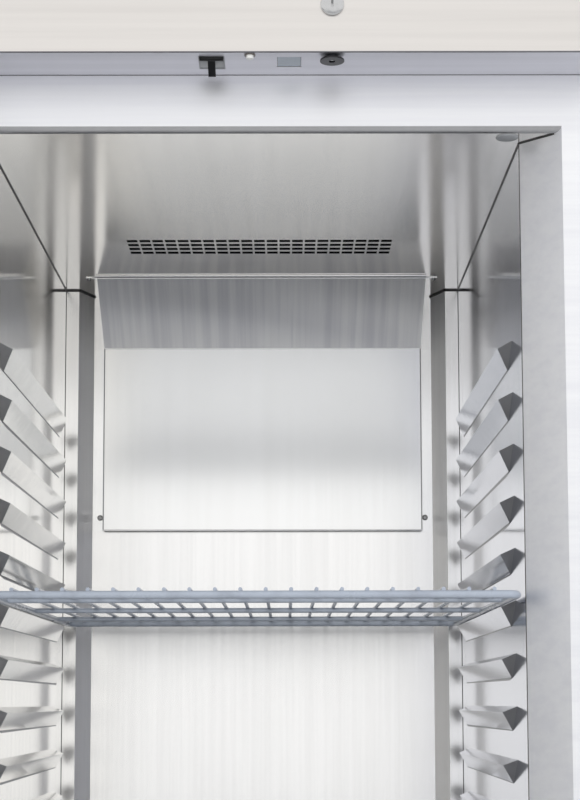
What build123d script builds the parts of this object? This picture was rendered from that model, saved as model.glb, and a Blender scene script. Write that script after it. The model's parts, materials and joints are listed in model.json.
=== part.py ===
"""Upright commercial fish refrigerator with one door.

Millimetres. X runs to the right as seen from the front, Y runs from the front to the back and Z runs up.
The origin is on the floor, in the middle of the cabinet body. The door stands open.
"""

import os
from math import atan2, cos, degrees, hypot, radians, sin

from build123d import *

os.makedirs("parts", exist_ok=True)

# Overall build of the cabinet
overall_width = 700.0
back_insulation = 63.0
foot_height = 150.0
floor_insulation = 70.0
interior_height = 1440.0
roof_insulation = 70.0
compartment_height = 320.0
casing_sheet = 1.0
liner_sheet = 1.0

# Interior and the frame round its opening
interior_width = 544.0
interior_depth = 727.0
splay_depth = 38.0
edge_radius = 6.5
strip_width = 18.0
recess_depth = 40.0
recess_slant = 17.0
rear_return = 22.0

# Pressed shelf runners
runner_pitch = 55.0
first_runner_drop = 195.6
last_runner_height = 60.0
runner_reach = 14.0
runner_top_fall = 6.0
runner_under_rise = 20.0
runner_start = 150.0
runner_rear_gap = 77.0
runner_end_slope = 4.0

# Air grille and duct
grille_setback = 13.0
grille_columns = 21
grille_rows = 4
grille_slot_width = 13.4
grille_slot_depth = 11.0
grille_column_pitch = 15.8
grille_row_pitch = 19.0
plug_across = 257.5
plug_depth = 18.5
plug_radius = 11.5
duct_half_width = 221.5
duct_channel = 11.0
duct_slope_reach = 105.0
duct_slope_drop = 76.5
duct_height = 333.0
duct_flange = 15.0
duct_sheet = 1.0
duct_hem = 5.0
outlet_half_width = 195.0
outlet_setback = 17.0
outlet_depth = 70.0
face_screw_across = 226.4
face_screw_drop = 314.0
face_screw_radius = 4.35
lip_screw_across = 232.6
lip_screw_radius = 3.2
screw_head = 2.4

# Fascia above the door and what hangs from its underside
fascia_drop = 58.7
fascia_reach = 63.4
door_switch_across = -40.0
door_switch_width = 26.0
door_switch_start = -53.0
door_switch_depth = 36.5
lever_width = 7.3
lever_barrel_radius = 3.6
lever_reach = 24.5
lever_droop = 26.0
lever_lift = 18.0
light_button_across = -2.0
light_button_depth = -56.0
light_button_radius = 3.8
light_button_hang = 4.5
light_button_travel = 3.0
lens_across = 36.4
lens_depth = -36.4
lens_width = 23.6
lens_length = 27.4
lock_across = 78.4
lock_depth = -51.0
lock_flange_radius = 12.0
lock_flange_hang = 5.0
lock_crown_radius = 6.5
lock_bolt_radius = 3.0
lock_bolt_throw = 10.0
lock_barrel_rise = 48.0
lock_barrel_radius = 9.5

# Controls on the fascia
controller_across = 170.0
controls_rise = 190.0
controller_width = 74.0
controller_height = 32.0
key_width = 8.0
key_height = 5.0
key_pitch = 10.5
key_travel = 0.8
rocker_across = 255.0
rocker_width = 12.0
rocker_height = 24.0
rocker_tilt = 16.0

# Door
door_thickness = 53.4
door_gap = 10.0
door_side_gap = 1.0
door_top_gap = 8.0
door_foot_gap = 6.0
door_sheet = 1.0
door_open_angle = 105.0
pivot_from_edge = 15.0
pivot_from_back = 35.0
pin_radius = 5.0
pin_length = 22.0
bush_wall = 3.0
bracket_sheet = 5.0
bracket_width = 44.0
gasket_width = 22.0
gasket_inset = 15.0
gasket_relief = 0.4
liner_rise = 6.0
liner_margin = 58.0
handle_length = 320.0
handle_stand = 38.0
handle_from_edge = 34.0
handle_height = 1060.0

# Shelves
shelf_width = 530.0
shelf_rail = 8.0
shelf_rod = 6.0
shelf_wire = 4.0
shelf_wire_count = 20
shelf_wire_pitch = 25.0
shelf_corner = 12.0
shelf_weld = 0.6
shelf_rod_inset = 115.0
shelf_pulled = 31.0
shelf_front_gap = 36.0
shelf_rear_gap = 1.0
shelf_runners = {"shelf_upper": 5, "shelf_middle": 12, "shelf_lower": 19}

# Feet
foot_side_inset = 50.0
foot_end_inset = 60.0
sleeve_radius = 25.0
sleeve_length = 105.0
stem_radius = 19.0
pad_radius = 30.0
pad_height = 14.0
foot_travel = 45.0

# Cooling unit above the ceiling
chamber_half_width = 225.0
chamber_rear_inset = 12.0
chamber_depth = 310.0
chamber_height = 185.0
hood_wall = 28.0
bulkhead_setback = 98.0
coil_setback = 135.0
drain_pipe_setback = 170.0
evaporator_fan_radius = 70.0
condenser_fan_radius = 95.0
fan_clearance = 3.0
fan_blades = 5
shaft_radius = 4.0
unit_sheet = 2.0
unit_front_gap = 25.0
unit_rear_gap = 32.0
unit_base_across = (-300.0, 320.0)
pan_front_inset = 65.0
pan_rear_inset = 15.0
condensate_rim = 20.0

# Clearances
running_gap = 0.05
slide_gap = 0.3
seat_gap = 0.3
button_gap = 0.25
stem_gap = 0.1

# Levels and places worked out from the above
floor_level = foot_height + floor_insulation
ceiling_level = floor_level + interior_height
roof_level = ceiling_level + roof_insulation
overall_height = roof_level + compartment_height
half_width = overall_width / 2
half_interior = interior_width / 2
half_opening = half_interior + splay_depth
body_depth = interior_depth + back_insulation
strip_depth = interior_depth - recess_depth
runner_length = strip_depth - runner_start - runner_rear_gap
shelf_length = strip_depth - shelf_front_gap - shelf_rear_gap
shelf_rod_places = (shelf_rod_inset, shelf_length / 2, shelf_length - shelf_rod_inset)
duct_face_depth = interior_depth - duct_channel
duct_lip_depth = duct_face_depth - duct_slope_reach
outlet_start = duct_lip_depth + outlet_setback
chamber_end = interior_depth - chamber_rear_inset
chamber_start = chamber_end - chamber_depth
grille_start = chamber_start + grille_setback
foot_across = half_width - foot_side_inset
foot_along = body_depth / 2 - foot_end_inset
front_y = -body_depth / 2
fascia_level = ceiling_level + fascia_drop
controls_level = fascia_level + controls_rise
fascia_top = overall_height
door_width = overall_width - 2 * door_side_gap
door_bottom = foot_height + door_foot_gap
door_top = fascia_level - door_top_gap
pivot_x = -(half_width - door_side_gap - pivot_from_edge)
pivot_depth = -(door_gap + pivot_from_back)
runner_count = int((interior_height - first_runner_drop - last_runner_height) // runner_pitch) + 1
hood_floor = roof_level
chamber_top = hood_floor + chamber_height


def y_at(depth):
    """Y of a place that lies depth behind the plane of the front frame."""
    return front_y + depth


def facing(depth):
    """Plane seen from the front, local axes X and Z, whose normal points to the front."""
    return Plane.XZ.offset(-y_at(depth))


def level(height):
    """Plane seen from above at a height."""
    return Plane.XY.offset(height)


def block(across, depths, heights, mode=Mode.ADD):
    """Straight block between pairs of limits, with its depths counted from the front frame."""
    middle = (sum(across) / 2, y_at(sum(depths) / 2), sum(heights) / 2)
    with Locations(middle):
        Box(across[1] - across[0], depths[1] - depths[0], heights[1] - heights[0], mode=mode)


def bar(plane, place, radius, length, mode=Mode.ADD):
    """Round bar that starts at a place on a plane and runs along its normal."""
    with BuildSketch(plane) as section:
        with Locations(place):
            Circle(radius)
    extrude(section.sketch, amount=length, mode=mode)


def prism(plane, points, length, both=False, mode=Mode.ADD):
    """Prism on a closed outline of points."""
    with BuildSketch(plane) as section:
        with BuildLine():
            Polyline(*points, close=True)
        make_face()
    extrude(section.sketch, amount=length, both=both, mode=mode)


def folded(plane, points, sheet, length, side=Side.LEFT, both=False, mode=Mode.ADD):
    """Sheet folded along points, run along the plane's normal."""
    with BuildSketch(plane) as section:
        with BuildLine():
            Polyline(*points)
            offset(amount=sheet, side=side, kind=Kind.INTERSECTION)
        make_face()
    extrude(section.sketch, amount=length, both=both, mode=mode)


def mirrored(piece):
    """The same piece for the other side of the cabinet."""
    with BuildPart() as other:
        mirror(piece, about=Plane.YZ)
    return other.part


def save(piece, name):
    """Name a finished piece and write it."""
    piece.label = name
    export_step(piece, f"parts/{name}.step")


# Outer casing
with BuildPart() as outer_side_right:
    folded(
        level(foot_height),
        [
            (half_width, y_at(casing_sheet)),
            (half_width, y_at(body_depth)),
            (half_width - rear_return, y_at(body_depth)),
        ],
        casing_sheet,
        overall_height - foot_height,
    )
save(outer_side_right.part, "outer_side_right")
save(mirrored(outer_side_right.part), "outer_side_left")

inside_casing = half_width - casing_sheet
back_inside = body_depth - 2 * casing_sheet

gland_radius = 9.0
gland_across = 240.0
gland_level = roof_level + 60.0
with BuildPart() as outer_back:
    block((-inside_casing, inside_casing), (back_inside, back_inside + casing_sheet), (foot_height, fascia_top))
    vent_rows = 7
    vent_pitch = 22.0
    vent_height = 8.0
    with BuildSketch(facing(body_depth)) as vents:
        with Locations((0, roof_level + compartment_height * 0.6)):
            with GridLocations(200, vent_pitch, 2, vent_rows):
                SlotOverall(170, vent_height)
    extrude(vents.sketch, amount=4 * casing_sheet, both=True, mode=Mode.SUBTRACT)
    with BuildSketch(facing(body_depth)) as gland_hole:
        with Locations((gland_across, gland_level)):
            Circle(gland_radius)
    extrude(gland_hole.sketch, amount=4 * casing_sheet, both=True, mode=Mode.SUBTRACT)
save(outer_back.part, "outer_back")

with BuildPart() as outer_base:
    block((-inside_casing, inside_casing), (casing_sheet, back_inside), (foot_height, foot_height + casing_sheet))
save(outer_base.part, "outer_base")

inlet_half_width = grille_columns * grille_column_pitch / 2 + 6
inlet_depths = (grille_start - 6, grille_start + grille_rows * grille_row_pitch + 6)
outlet_depths = (outlet_start, outlet_start + outlet_depth)


def air_openings(low, high):
    """Cut the way in over the grille and the way down into the duct."""
    block((-inlet_half_width, inlet_half_width), inlet_depths, (low, high), Mode.SUBTRACT)
    block((-outlet_half_width, outlet_half_width), outlet_depths, (low, high), Mode.SUBTRACT)


with BuildPart() as roof_panel:
    block((-inside_casing, inside_casing), (casing_sheet, back_inside), (roof_level - casing_sheet, roof_level))
    air_openings(roof_level - 2 * casing_sheet, roof_level + casing_sheet)
save(roof_panel.part, "roof_panel")

# Front frame: face ring, splays at the sides and rolled edges above and below the opening
splay_mitre = liner_sheet * (2**0.5 - 1)


def rolled_edge(height, up):
    """Quarter roll that leads from the face of the frame to the ceiling or the floor."""
    inside = edge_radius - liner_sheet
    half_turn = cos(radians(45))
    centre = (y_at(edge_radius), height + up * edge_radius)
    lap = height + up * (edge_radius + liner_sheet)
    with BuildSketch(Plane.YZ) as roll:
        with BuildLine():
            Line((y_at(0), lap), (y_at(0), centre[1]))
            ThreePointArc(
                (y_at(0), centre[1]),
                (centre[0] - edge_radius * half_turn, centre[1] - up * edge_radius * half_turn),
                (centre[0], height),
            )
            Line((centre[0], height), (centre[0], height + up * liner_sheet))
            ThreePointArc(
                (centre[0], height + up * liner_sheet),
                (centre[0] - inside * half_turn, centre[1] - up * inside * half_turn),
                (y_at(liner_sheet), centre[1]),
            )
            Line((y_at(liner_sheet), centre[1]), (y_at(liner_sheet), lap))
            Line((y_at(liner_sheet), lap), (y_at(0), lap))
        make_face()
    extrude(roll.sketch, amount=half_opening, both=True)


def splays(mode=Mode.ADD):
    """Slanted plates at both sides of the opening, as high as the rolled edges reach."""
    for side in (-1, 1):
        prism(
            level(floor_level - edge_radius),
            [
                (side * half_opening, y_at(0)),
                (side * half_interior, y_at(splay_depth)),
                (side * half_interior, y_at(splay_depth + splay_mitre)),
                (side * (half_interior + liner_sheet), y_at(splay_depth + splay_mitre)),
                (side * (half_opening + liner_sheet + splay_mitre), y_at(0)),
            ],
            interior_height + 2 * edge_radius,
            mode=mode,
        )


with BuildPart() as front_frame:
    with BuildSketch(facing(0)) as face:
        with Locations((0, (foot_height + roof_level) / 2)):
            Rectangle(overall_width, roof_level - foot_height)
        with Locations((0, (floor_level + ceiling_level) / 2)):
            Rectangle(2 * half_opening, interior_height + 2 * edge_radius, mode=Mode.SUBTRACT)
    extrude(face.sketch, amount=-casing_sheet)
    splays()
    rolled_edge(ceiling_level, 1)
    rolled_edge(floor_level, -1)
save(front_frame.part, "front_frame")

# Side walls with their pressed runners
runner_high = runner_top_fall / runner_reach
runner_low = runner_under_rise / runner_reach
end_slope = runner_end_slope / runner_reach


def runner(inset, back):
    """One runner on the right wall with its crest at height 0, its skin moved inwards by inset."""
    wall = half_interior
    deep = wall + back
    crest = wall - runner_reach
    start = runner_start - runner_end_slope
    end = runner_start + runner_length + runner_end_slope
    with BuildPart() as press:
        with BuildSketch(facing(start - end_slope * back)) as section:
            with BuildLine():
                Polyline(
                    (crest, 0),
                    (deep, runner_high * (deep - crest)),
                    (deep, -runner_low * (deep - crest)),
                    close=True,
                )
            make_face()
            if inset:
                offset(amount=-inset, kind=Kind.INTERSECTION, mode=Mode.REPLACE)
        extrude(section.sketch, amount=-(end - start + 2 * end_slope * back))
        with BuildSketch(level(-2 * runner_pitch)) as plan:
            with BuildLine():
                Polyline(
                    (deep, y_at(start - end_slope * back)),
                    (crest, y_at(runner_start)),
                    (crest, y_at(runner_start + runner_length)),
                    (deep, y_at(end + end_slope * back)),
                    close=True,
                )
            make_face()
            if inset:
                offset(amount=-inset, kind=Kind.INTERSECTION, mode=Mode.REPLACE)
        extrude(plan.sketch, amount=4 * runner_pitch, mode=Mode.INTERSECT)
    return press.part


crest_levels = [ceiling_level - first_runner_drop - runner_pitch * row for row in range(runner_count)]
pressed_skin = runner(0, liner_sheet)
pressed_hollow = runner(liner_sheet, 2 * liner_sheet)

with BuildPart() as inner_wall_right:
    block(
        (half_interior, half_interior + liner_sheet),
        (splay_depth + splay_mitre, strip_depth + liner_sheet),
        (floor_level, ceiling_level),
    )
    with Locations(*[(0, 0, crest) for crest in crest_levels]):
        add(pressed_skin)
        add(pressed_hollow, mode=Mode.SUBTRACT)
save(inner_wall_right.part, "inner_wall_right")
save(mirrored(inner_wall_right.part), "inner_wall_left")

# Back wall with the strips at its corners and the slanted sides of the recess
half_recess = half_interior - strip_width - recess_slant
back_outline = [
    (half_interior, y_at(strip_depth)),
    (half_interior - strip_width, y_at(strip_depth)),
    (half_recess, y_at(interior_depth)),
    (-half_recess, y_at(interior_depth)),
    (-(half_interior - strip_width), y_at(strip_depth)),
    (-half_interior, y_at(strip_depth)),
]
with BuildPart() as inner_back_wall:
    folded(level(floor_level), back_outline, liner_sheet, interior_height, Side.RIGHT)
save(inner_back_wall.part, "inner_back_wall")

# Ceiling and floor share the outline of the room
room_outline = [
    (-(half_opening - edge_radius), y_at(edge_radius)),
    (half_opening - edge_radius, y_at(edge_radius)),
    (half_interior, y_at(splay_depth)),
    *back_outline,
    (-half_interior, y_at(splay_depth)),
]
grille_middle = grille_start + (grille_rows - 1) * grille_row_pitch / 2 + grille_slot_depth / 2
with BuildPart() as inner_ceiling:
    prism(level(ceiling_level), room_outline, liner_sheet)
    with BuildSketch(level(ceiling_level)) as grille:
        with Locations((0, y_at(grille_middle))):
            with GridLocations(grille_column_pitch, grille_row_pitch, grille_columns, grille_rows):
                Rectangle(grille_slot_width, grille_slot_depth)
    extrude(grille.sketch, amount=liner_sheet, mode=Mode.SUBTRACT)
    block(
        (-outlet_half_width, outlet_half_width),
        outlet_depths,
        (ceiling_level - liner_sheet, ceiling_level + 2 * liner_sheet),
        Mode.SUBTRACT,
    )
save(inner_ceiling.part, "inner_ceiling")

drain_radius = 16.0
drain_depth = 300.0
drain_drop = 4.0
with BuildPart() as inner_floor:
    prism(level(floor_level - liner_sheet), room_outline, liner_sheet)
    with BuildSketch(level(floor_level - drain_drop - liner_sheet)) as dish:
        with Locations((0, y_at(drain_depth))):
            Circle(2 * drain_radius)
    extrude(dish.sketch, amount=drain_drop)
    with BuildSketch(level(floor_level)) as dish_inside:
        with Locations((0, y_at(drain_depth))):
            Circle(2 * drain_radius - liner_sheet)
    extrude(dish_inside.sketch, amount=-drain_drop, mode=Mode.SUBTRACT)
    with BuildSketch(level(floor_level)) as drain:
        with Locations((0, y_at(drain_depth))):
            Circle(drain_radius)
    extrude(drain.sketch, amount=-3 * drain_drop, mode=Mode.SUBTRACT)
save(inner_floor.part, "inner_floor")

with BuildPart() as ceiling_plug:
    plug_place = (plug_across, y_at(plug_depth))
    plug_head = 1.2
    plug_dome = 0.8
    bar(level(ceiling_level - plug_head), plug_place, plug_radius, plug_head)
    chamfer(ceiling_plug.faces().sort_by(Axis.Z)[0].edges(), plug_dome)
save(ceiling_plug.part, "ceiling_plug")

# Insulation between the casing and the liner
with BuildPart() as body_insulation:
    block(
        (-inside_casing, inside_casing),
        (casing_sheet, back_inside),
        (foot_height + casing_sheet, roof_level - casing_sheet),
    )
    with BuildSketch(level(floor_level - liner_sheet)) as room:
        with BuildLine():
            Polyline(
                (-half_opening, y_at(0)),
                (half_opening, y_at(0)),
                (half_interior, y_at(splay_depth)),
                *back_outline,
                (-half_interior, y_at(splay_depth)),
                close=True,
            )
        make_face()
        offset(amount=liner_sheet, kind=Kind.INTERSECTION, mode=Mode.REPLACE)
    extrude(room.sketch, amount=interior_height + 2 * liner_sheet, mode=Mode.SUBTRACT)
    block(
        (-half_opening, half_opening),
        (0, edge_radius),
        (floor_level - edge_radius, ceiling_level + edge_radius),
        Mode.SUBTRACT,
    )
    splays(Mode.SUBTRACT)
    with BuildSketch(level(floor_level)) as well:
        with Locations((0, y_at(drain_depth))):
            Circle(2 * drain_radius)
    extrude(well.sketch, amount=-(drain_drop + liner_sheet), mode=Mode.SUBTRACT)
    air_openings(ceiling_level, roof_level)
save(body_insulation.part, "body_insulation")

# Cover of the air duct on the back wall
duct_profile = [
    (y_at(duct_lip_depth), ceiling_level),
    (y_at(duct_face_depth), ceiling_level - duct_slope_drop),
    (y_at(duct_face_depth), ceiling_level - duct_height),
]
duct_ear = 15.0
duct_ear_length = 9.0
with BuildPart() as air_duct_cover:
    prism(
        Plane.YZ,
        [
            *duct_profile,
            (y_at(interior_depth), ceiling_level - duct_height),
            (y_at(interior_depth), ceiling_level),
        ],
        duct_half_width,
        both=True,
    )
    inner_profile = [
        (y_at(duct_lip_depth + 1.7 * duct_sheet), ceiling_level),
        (y_at(duct_face_depth + duct_sheet), ceiling_level - duct_slope_drop - 0.6 * duct_sheet),
        (y_at(duct_face_depth + duct_sheet), ceiling_level - duct_height),
        (y_at(interior_depth), ceiling_level - duct_height),
        (y_at(interior_depth), ceiling_level),
    ]
    prism(Plane.YZ, inner_profile, duct_half_width - duct_sheet, both=True, mode=Mode.SUBTRACT)
    for side in (-1, 1):
        edges = sorted((side * (duct_half_width - duct_sheet), side * (duct_half_width + duct_flange)))
        block(
            edges,
            (interior_depth - duct_sheet, interior_depth),
            (ceiling_level - duct_height, ceiling_level - duct_slope_drop),
        )
        ear = sorted((side * (duct_half_width - duct_sheet), side * (duct_half_width + duct_ear)))
        block(
            ear,
            (duct_lip_depth + duct_sheet, duct_lip_depth + duct_sheet + duct_ear_length),
            (ceiling_level - duct_sheet, ceiling_level),
        )
    block(
        (-duct_half_width, duct_half_width),
        (duct_face_depth, duct_face_depth + duct_hem),
        (ceiling_level - duct_height, ceiling_level - duct_height + duct_sheet),
    )
save(air_duct_cover.part, "air_duct_cover")

lip_screw_depth = duct_lip_depth + duct_sheet + duct_ear_length / 2
with BuildPart() as cover_screws:
    for side in (-1, 1):
        bar(
            facing(interior_depth - duct_sheet),
            (side * face_screw_across, ceiling_level - face_screw_drop),
            face_screw_radius,
            screw_head,
        )
        bar(
            level(ceiling_level - duct_sheet - screw_head),
            (side * lip_screw_across, y_at(lip_screw_depth)),
            lip_screw_radius,
            screw_head,
        )
    fillet(cover_screws.faces().filter_by(Axis.Y).group_by(Axis.Y)[0].edges(), screw_head * 0.5)
save(cover_screws.part, "cover_screws")

# Fascia with its underside and the holes in it
fascia_sheet = casing_sheet
cheek_depth = 0.0
lock_level = fascia_level + lock_barrel_rise
switch_middle = door_switch_start + door_switch_depth / 2
fascia_return = 30.0
with BuildPart() as fascia_panel:
    block((-half_width, half_width), (-fascia_reach, cheek_depth), (fascia_level, fascia_top))
    block(
        (-inside_casing, inside_casing),
        (fascia_sheet - fascia_reach, cheek_depth),
        (fascia_level + fascia_sheet, fascia_top - fascia_sheet),
        Mode.SUBTRACT,
    )
    block(
        (-inside_casing, inside_casing),
        (fascia_return - fascia_reach, cheek_depth),
        (fascia_top - fascia_sheet, fascia_top),
        Mode.SUBTRACT,
    )
    with BuildSketch(level(fascia_level)) as under_holes:
        with Locations((door_switch_across, y_at(switch_middle))):
            Rectangle(door_switch_width, door_switch_depth)
        with Locations((lens_across, y_at(lens_depth))):
            Rectangle(lens_width, lens_length)
        with Locations((light_button_across, y_at(light_button_depth))):
            Circle(light_button_radius + 1 + running_gap)
        with Locations((lock_across, y_at(lock_depth))):
            Circle(lock_crown_radius + running_gap)
    extrude(under_holes.sketch, amount=fascia_sheet, mode=Mode.SUBTRACT)
    with BuildSketch(facing(-fascia_reach)) as front_holes:
        with Locations((controller_across, controls_level)):
            Rectangle(controller_width - 4, controller_height - 4)
        with Locations((rocker_across, controls_level)):
            Rectangle(rocker_width + 4, rocker_height + 4)
        with Locations((lock_across, lock_level)):
            Circle(lock_barrel_radius)
    extrude(front_holes.sketch, amount=-fascia_sheet, mode=Mode.SUBTRACT)
    fold = fascia_panel.edges().filter_by(Axis.X).group_by(Axis.Z)[0].sort_by(Axis.Y)[0]
    fillet(fold, 0.9 * fascia_sheet)
save(fascia_panel.part, "fascia_panel")

# Controller with three keys
bezel_stand = 3.0
controller_body = 55.0
first_key = controller_across + 7.5
key_across = [first_key + key_pitch * place for place in range(3)]
display_width = 34.0
display_height = 18.0
key_well = 4.0
with BuildPart() as controller:
    with BuildSketch(facing(-fascia_reach)) as bezel:
        with Locations((controller_across, controls_level)):
            RectangleRounded(controller_width, controller_height, 3)
    extrude(bezel.sketch, amount=bezel_stand)
    chamfer(controller.faces().sort_by(Axis.Y)[0].edges(), 0.8)
    with BuildSketch(facing(-fascia_reach)) as body:
        with Locations((controller_across, controls_level)):
            Rectangle(controller_width - 4, controller_height - 4)
    extrude(body.sketch, amount=-controller_body)
    with BuildSketch(facing(-fascia_reach - bezel_stand)) as display:
        with Locations((controller_across - controller_width / 2 + display_width / 2 + 5, controls_level)):
            Rectangle(display_width, display_height)
    extrude(display.sketch, amount=-0.8, mode=Mode.SUBTRACT)
    with BuildSketch(facing(-fascia_reach - bezel_stand)) as wells:
        for place in key_across:
            with Locations((place, controls_level)):
                Rectangle(key_width + 2 * button_gap, key_height + 2 * button_gap)
    extrude(wells.sketch, amount=-key_well, mode=Mode.SUBTRACT)
save(controller.part, "controller")

for name, place in zip(("key_set", "key_down", "key_up"), key_across):
    with BuildPart() as key:
        with BuildSketch(facing(-fascia_reach - bezel_stand + key_well - key_travel - seat_gap)) as cap:
            with Locations((place, controls_level)):
                RectangleRounded(key_width, key_height, 1)
        extrude(cap.sketch, amount=key_well - seat_gap + 0.4)
        chamfer(key.faces().sort_by(Axis.Y)[0].edges(), 0.3)
    save(key.part, name)

# Main switch: frame and rocker
rocker_axis_depth = -fascia_reach + 1.0
rocker_pin_radius = 1.2
rocker_pin_length = 1.2
with BuildPart() as main_switch_frame:
    with BuildSketch(facing(-fascia_reach)) as frame_rim:
        with Locations((rocker_across, controls_level)):
            RectangleRounded(rocker_width + 8, rocker_height + 8, 2)
    extrude(frame_rim.sketch, amount=2.0)
    with BuildSketch(facing(-fascia_reach)) as frame_body:
        with Locations((rocker_across, controls_level)):
            Rectangle(rocker_width + 4, rocker_height + 4)
    extrude(frame_body.sketch, amount=-22.0)
    with BuildSketch(facing(-fascia_reach - 2.0)) as frame_well:
        with Locations((rocker_across, controls_level)):
            Rectangle(rocker_width + 2 * slide_gap, rocker_height + 2 * slide_gap)
    extrude(frame_well.sketch, amount=-16.0, mode=Mode.SUBTRACT)
    with BuildSketch(Plane.YZ.offset(rocker_across)) as pivot_holes:
        with Locations((y_at(rocker_axis_depth), controls_level)):
            Circle(rocker_pin_radius + running_gap)
    extrude(pivot_holes.sketch, amount=rocker_width / 2 + rocker_pin_length + 0.2, both=True, mode=Mode.SUBTRACT)
save(main_switch_frame.part, "main_switch_frame")

# At rest the rocker's lower half is in, so its face leans by half of its tilt
with BuildPart() as main_switch_rocker:
    half_tilt = radians(rocker_tilt / 2)
    face_half = (rocker_height / 2 - 1.0) / cos(half_tilt)
    axis_y = y_at(rocker_axis_depth)
    upper = (axis_y - 2.2 - face_half * sin(half_tilt) * 0.5, controls_level + face_half * cos(half_tilt) * 0.96)
    lower = (axis_y - 2.2 + face_half * sin(half_tilt) * 1.3, controls_level - face_half * cos(half_tilt) * 0.96)
    with BuildSketch(Plane.YZ.offset(rocker_across)) as rocker_side:
        with BuildLine():
            Polyline(
                upper,
                (axis_y + 4.0, controls_level + face_half * 0.80),
                (axis_y + 8.0, controls_level),
                (axis_y + 6.0, controls_level - face_half * 0.72),
                lower,
                (axis_y - 2.2 + 1.4, controls_level),
                close=True,
            )
        make_face()
    extrude(rocker_side.sketch, amount=rocker_width / 2, both=True)
    with BuildSketch(Plane.YZ.offset(rocker_across)) as pivot:
        with Locations((axis_y, controls_level)):
            Circle(rocker_pin_radius)
    for away in (-1, 1):
        extrude(pivot.sketch, amount=away * (rocker_width / 2 + rocker_pin_length))
save(main_switch_rocker.part, "main_switch_rocker")

# Door switch: a housing let into the underside and a lever that hangs from its barrel
barrel_depth = door_switch_start + lever_barrel_radius + slide_gap + 1.0
barrel_level = fascia_level + 0.5
housing_top = fascia_level + 24.0
housing_recess = 2.0
with BuildPart() as door_switch_housing:
    half_switch = door_switch_width / 2
    block(
        (door_switch_across - half_switch, door_switch_across + half_switch),
        (door_switch_start, door_switch_start + door_switch_depth),
        (fascia_level, housing_top),
    )
    block(
        (door_switch_across - half_switch + 1, door_switch_across + half_switch - 1),
        (door_switch_start + 1, door_switch_start + door_switch_depth - 1),
        (fascia_level, fascia_level + housing_recess),
        Mode.SUBTRACT,
    )
    block(
        (door_switch_across - half_switch + 1, door_switch_across + half_switch - 1),
        (door_switch_start + 1, barrel_depth + lever_barrel_radius + slide_gap),
        (fascia_level, barrel_level + lever_barrel_radius + slide_gap),
        Mode.SUBTRACT,
    )
save(door_switch_housing.part, "door_switch_housing")

with BuildPart() as door_switch_lever:
    barrel_plane = Plane.YZ.offset(door_switch_across)
    barrel_length = door_switch_width - 2 - 2 * slide_gap
    barrel_place = (y_at(barrel_depth), barrel_level)
    with BuildSketch(barrel_plane) as barrel:
        with Locations(barrel_place):
            Circle(lever_barrel_radius)
    extrude(barrel.sketch, amount=barrel_length / 2, both=True)
    tongue_half = 1.5
    droop = radians(lever_droop)
    along = (cos(droop), -sin(droop))
    up = (sin(droop), cos(droop))
    with BuildSketch(barrel_plane) as tongue:
        with BuildLine():
            Polyline(
                (barrel_place[0] + tongue_half * up[0], barrel_place[1] + tongue_half * up[1]),
                (
                    barrel_place[0] + lever_reach * along[0] + tongue_half * up[0],
                    barrel_place[1] + lever_reach * along[1] + tongue_half * up[1],
                ),
                (
                    barrel_place[0] + lever_reach * along[0] - tongue_half * up[0],
                    barrel_place[1] + lever_reach * along[1] - tongue_half * up[1],
                ),
                (barrel_place[0] - tongue_half * up[0], barrel_place[1] - 2 * tongue_half * up[1]),
                close=True,
            )
        make_face()
    extrude(tongue.sketch, amount=lever_width / 2, both=True)
save(door_switch_lever.part, "door_switch_lever")

# Light button in its collar
collar_rim = 1.6
collar_hang = 1.0
button_place = (light_button_across, y_at(light_button_depth))
with BuildPart() as light_button_collar:
    bar(level(fascia_level - collar_hang), button_place, light_button_radius + collar_rim, collar_hang)
    bar(level(fascia_level), button_place, light_button_radius + 1, 16.0)
    bar(level(fascia_level - collar_hang), button_place, light_button_radius + button_gap, 12.0, Mode.SUBTRACT)
save(light_button_collar.part, "light_button_collar")

with BuildPart() as light_button:
    button_length = light_button_hang + 11.0 - collar_hang - light_button_travel - seat_gap
    bar(level(fascia_level - light_button_hang), button_place, light_button_radius, button_length)
    fillet(light_button.faces().sort_by(Axis.Z)[0].edges(), 1.4)
save(light_button.part, "light_button")

with BuildPart() as lamp_lens:
    block(
        (lens_across - lens_width / 2, lens_across + lens_width / 2),
        (lens_depth - lens_length / 2, lens_depth + lens_length / 2),
        (fascia_level + 0.4, fascia_level + 9.0),
    )
save(lamp_lens.part, "lamp_lens")

# Lock: flanged guide below the fascia, sliding bolt and key barrel
lock_place = (lock_across, y_at(lock_depth))
guide_top = fascia_level + 22.0
flange_thick = 2.2
with BuildPart() as lock_bolt_guide:
    bar(level(fascia_level - lock_flange_hang), lock_place, lock_flange_radius, flange_thick)
    chamfer(lock_bolt_guide.edges().group_by(Axis.Z)[-1], 0.8)
    bar(
        level(fascia_level - lock_flange_hang + flange_thick),
        lock_place,
        lock_crown_radius,
        guide_top - fascia_level + lock_flange_hang - flange_thick,
    )
    bar(
        level(fascia_level - lock_flange_hang),
        lock_place,
        lock_bolt_radius + running_gap,
        guide_top - fascia_level + lock_flange_hang,
        Mode.SUBTRACT,
    )
save(lock_bolt_guide.part, "lock_bolt_guide")

bolt_recess = 1.0
bolt_top = lock_level - lock_barrel_radius - 4.0
with BuildPart() as lock_bolt:
    bolt_bottom = fascia_level - lock_flange_hang + bolt_recess
    bar(level(bolt_bottom), lock_place, lock_bolt_radius, bolt_top - bolt_bottom)
    chamfer(lock_bolt.faces().sort_by(Axis.Z)[0].edges(), 0.8)
save(lock_bolt.part, "lock_bolt")

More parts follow.
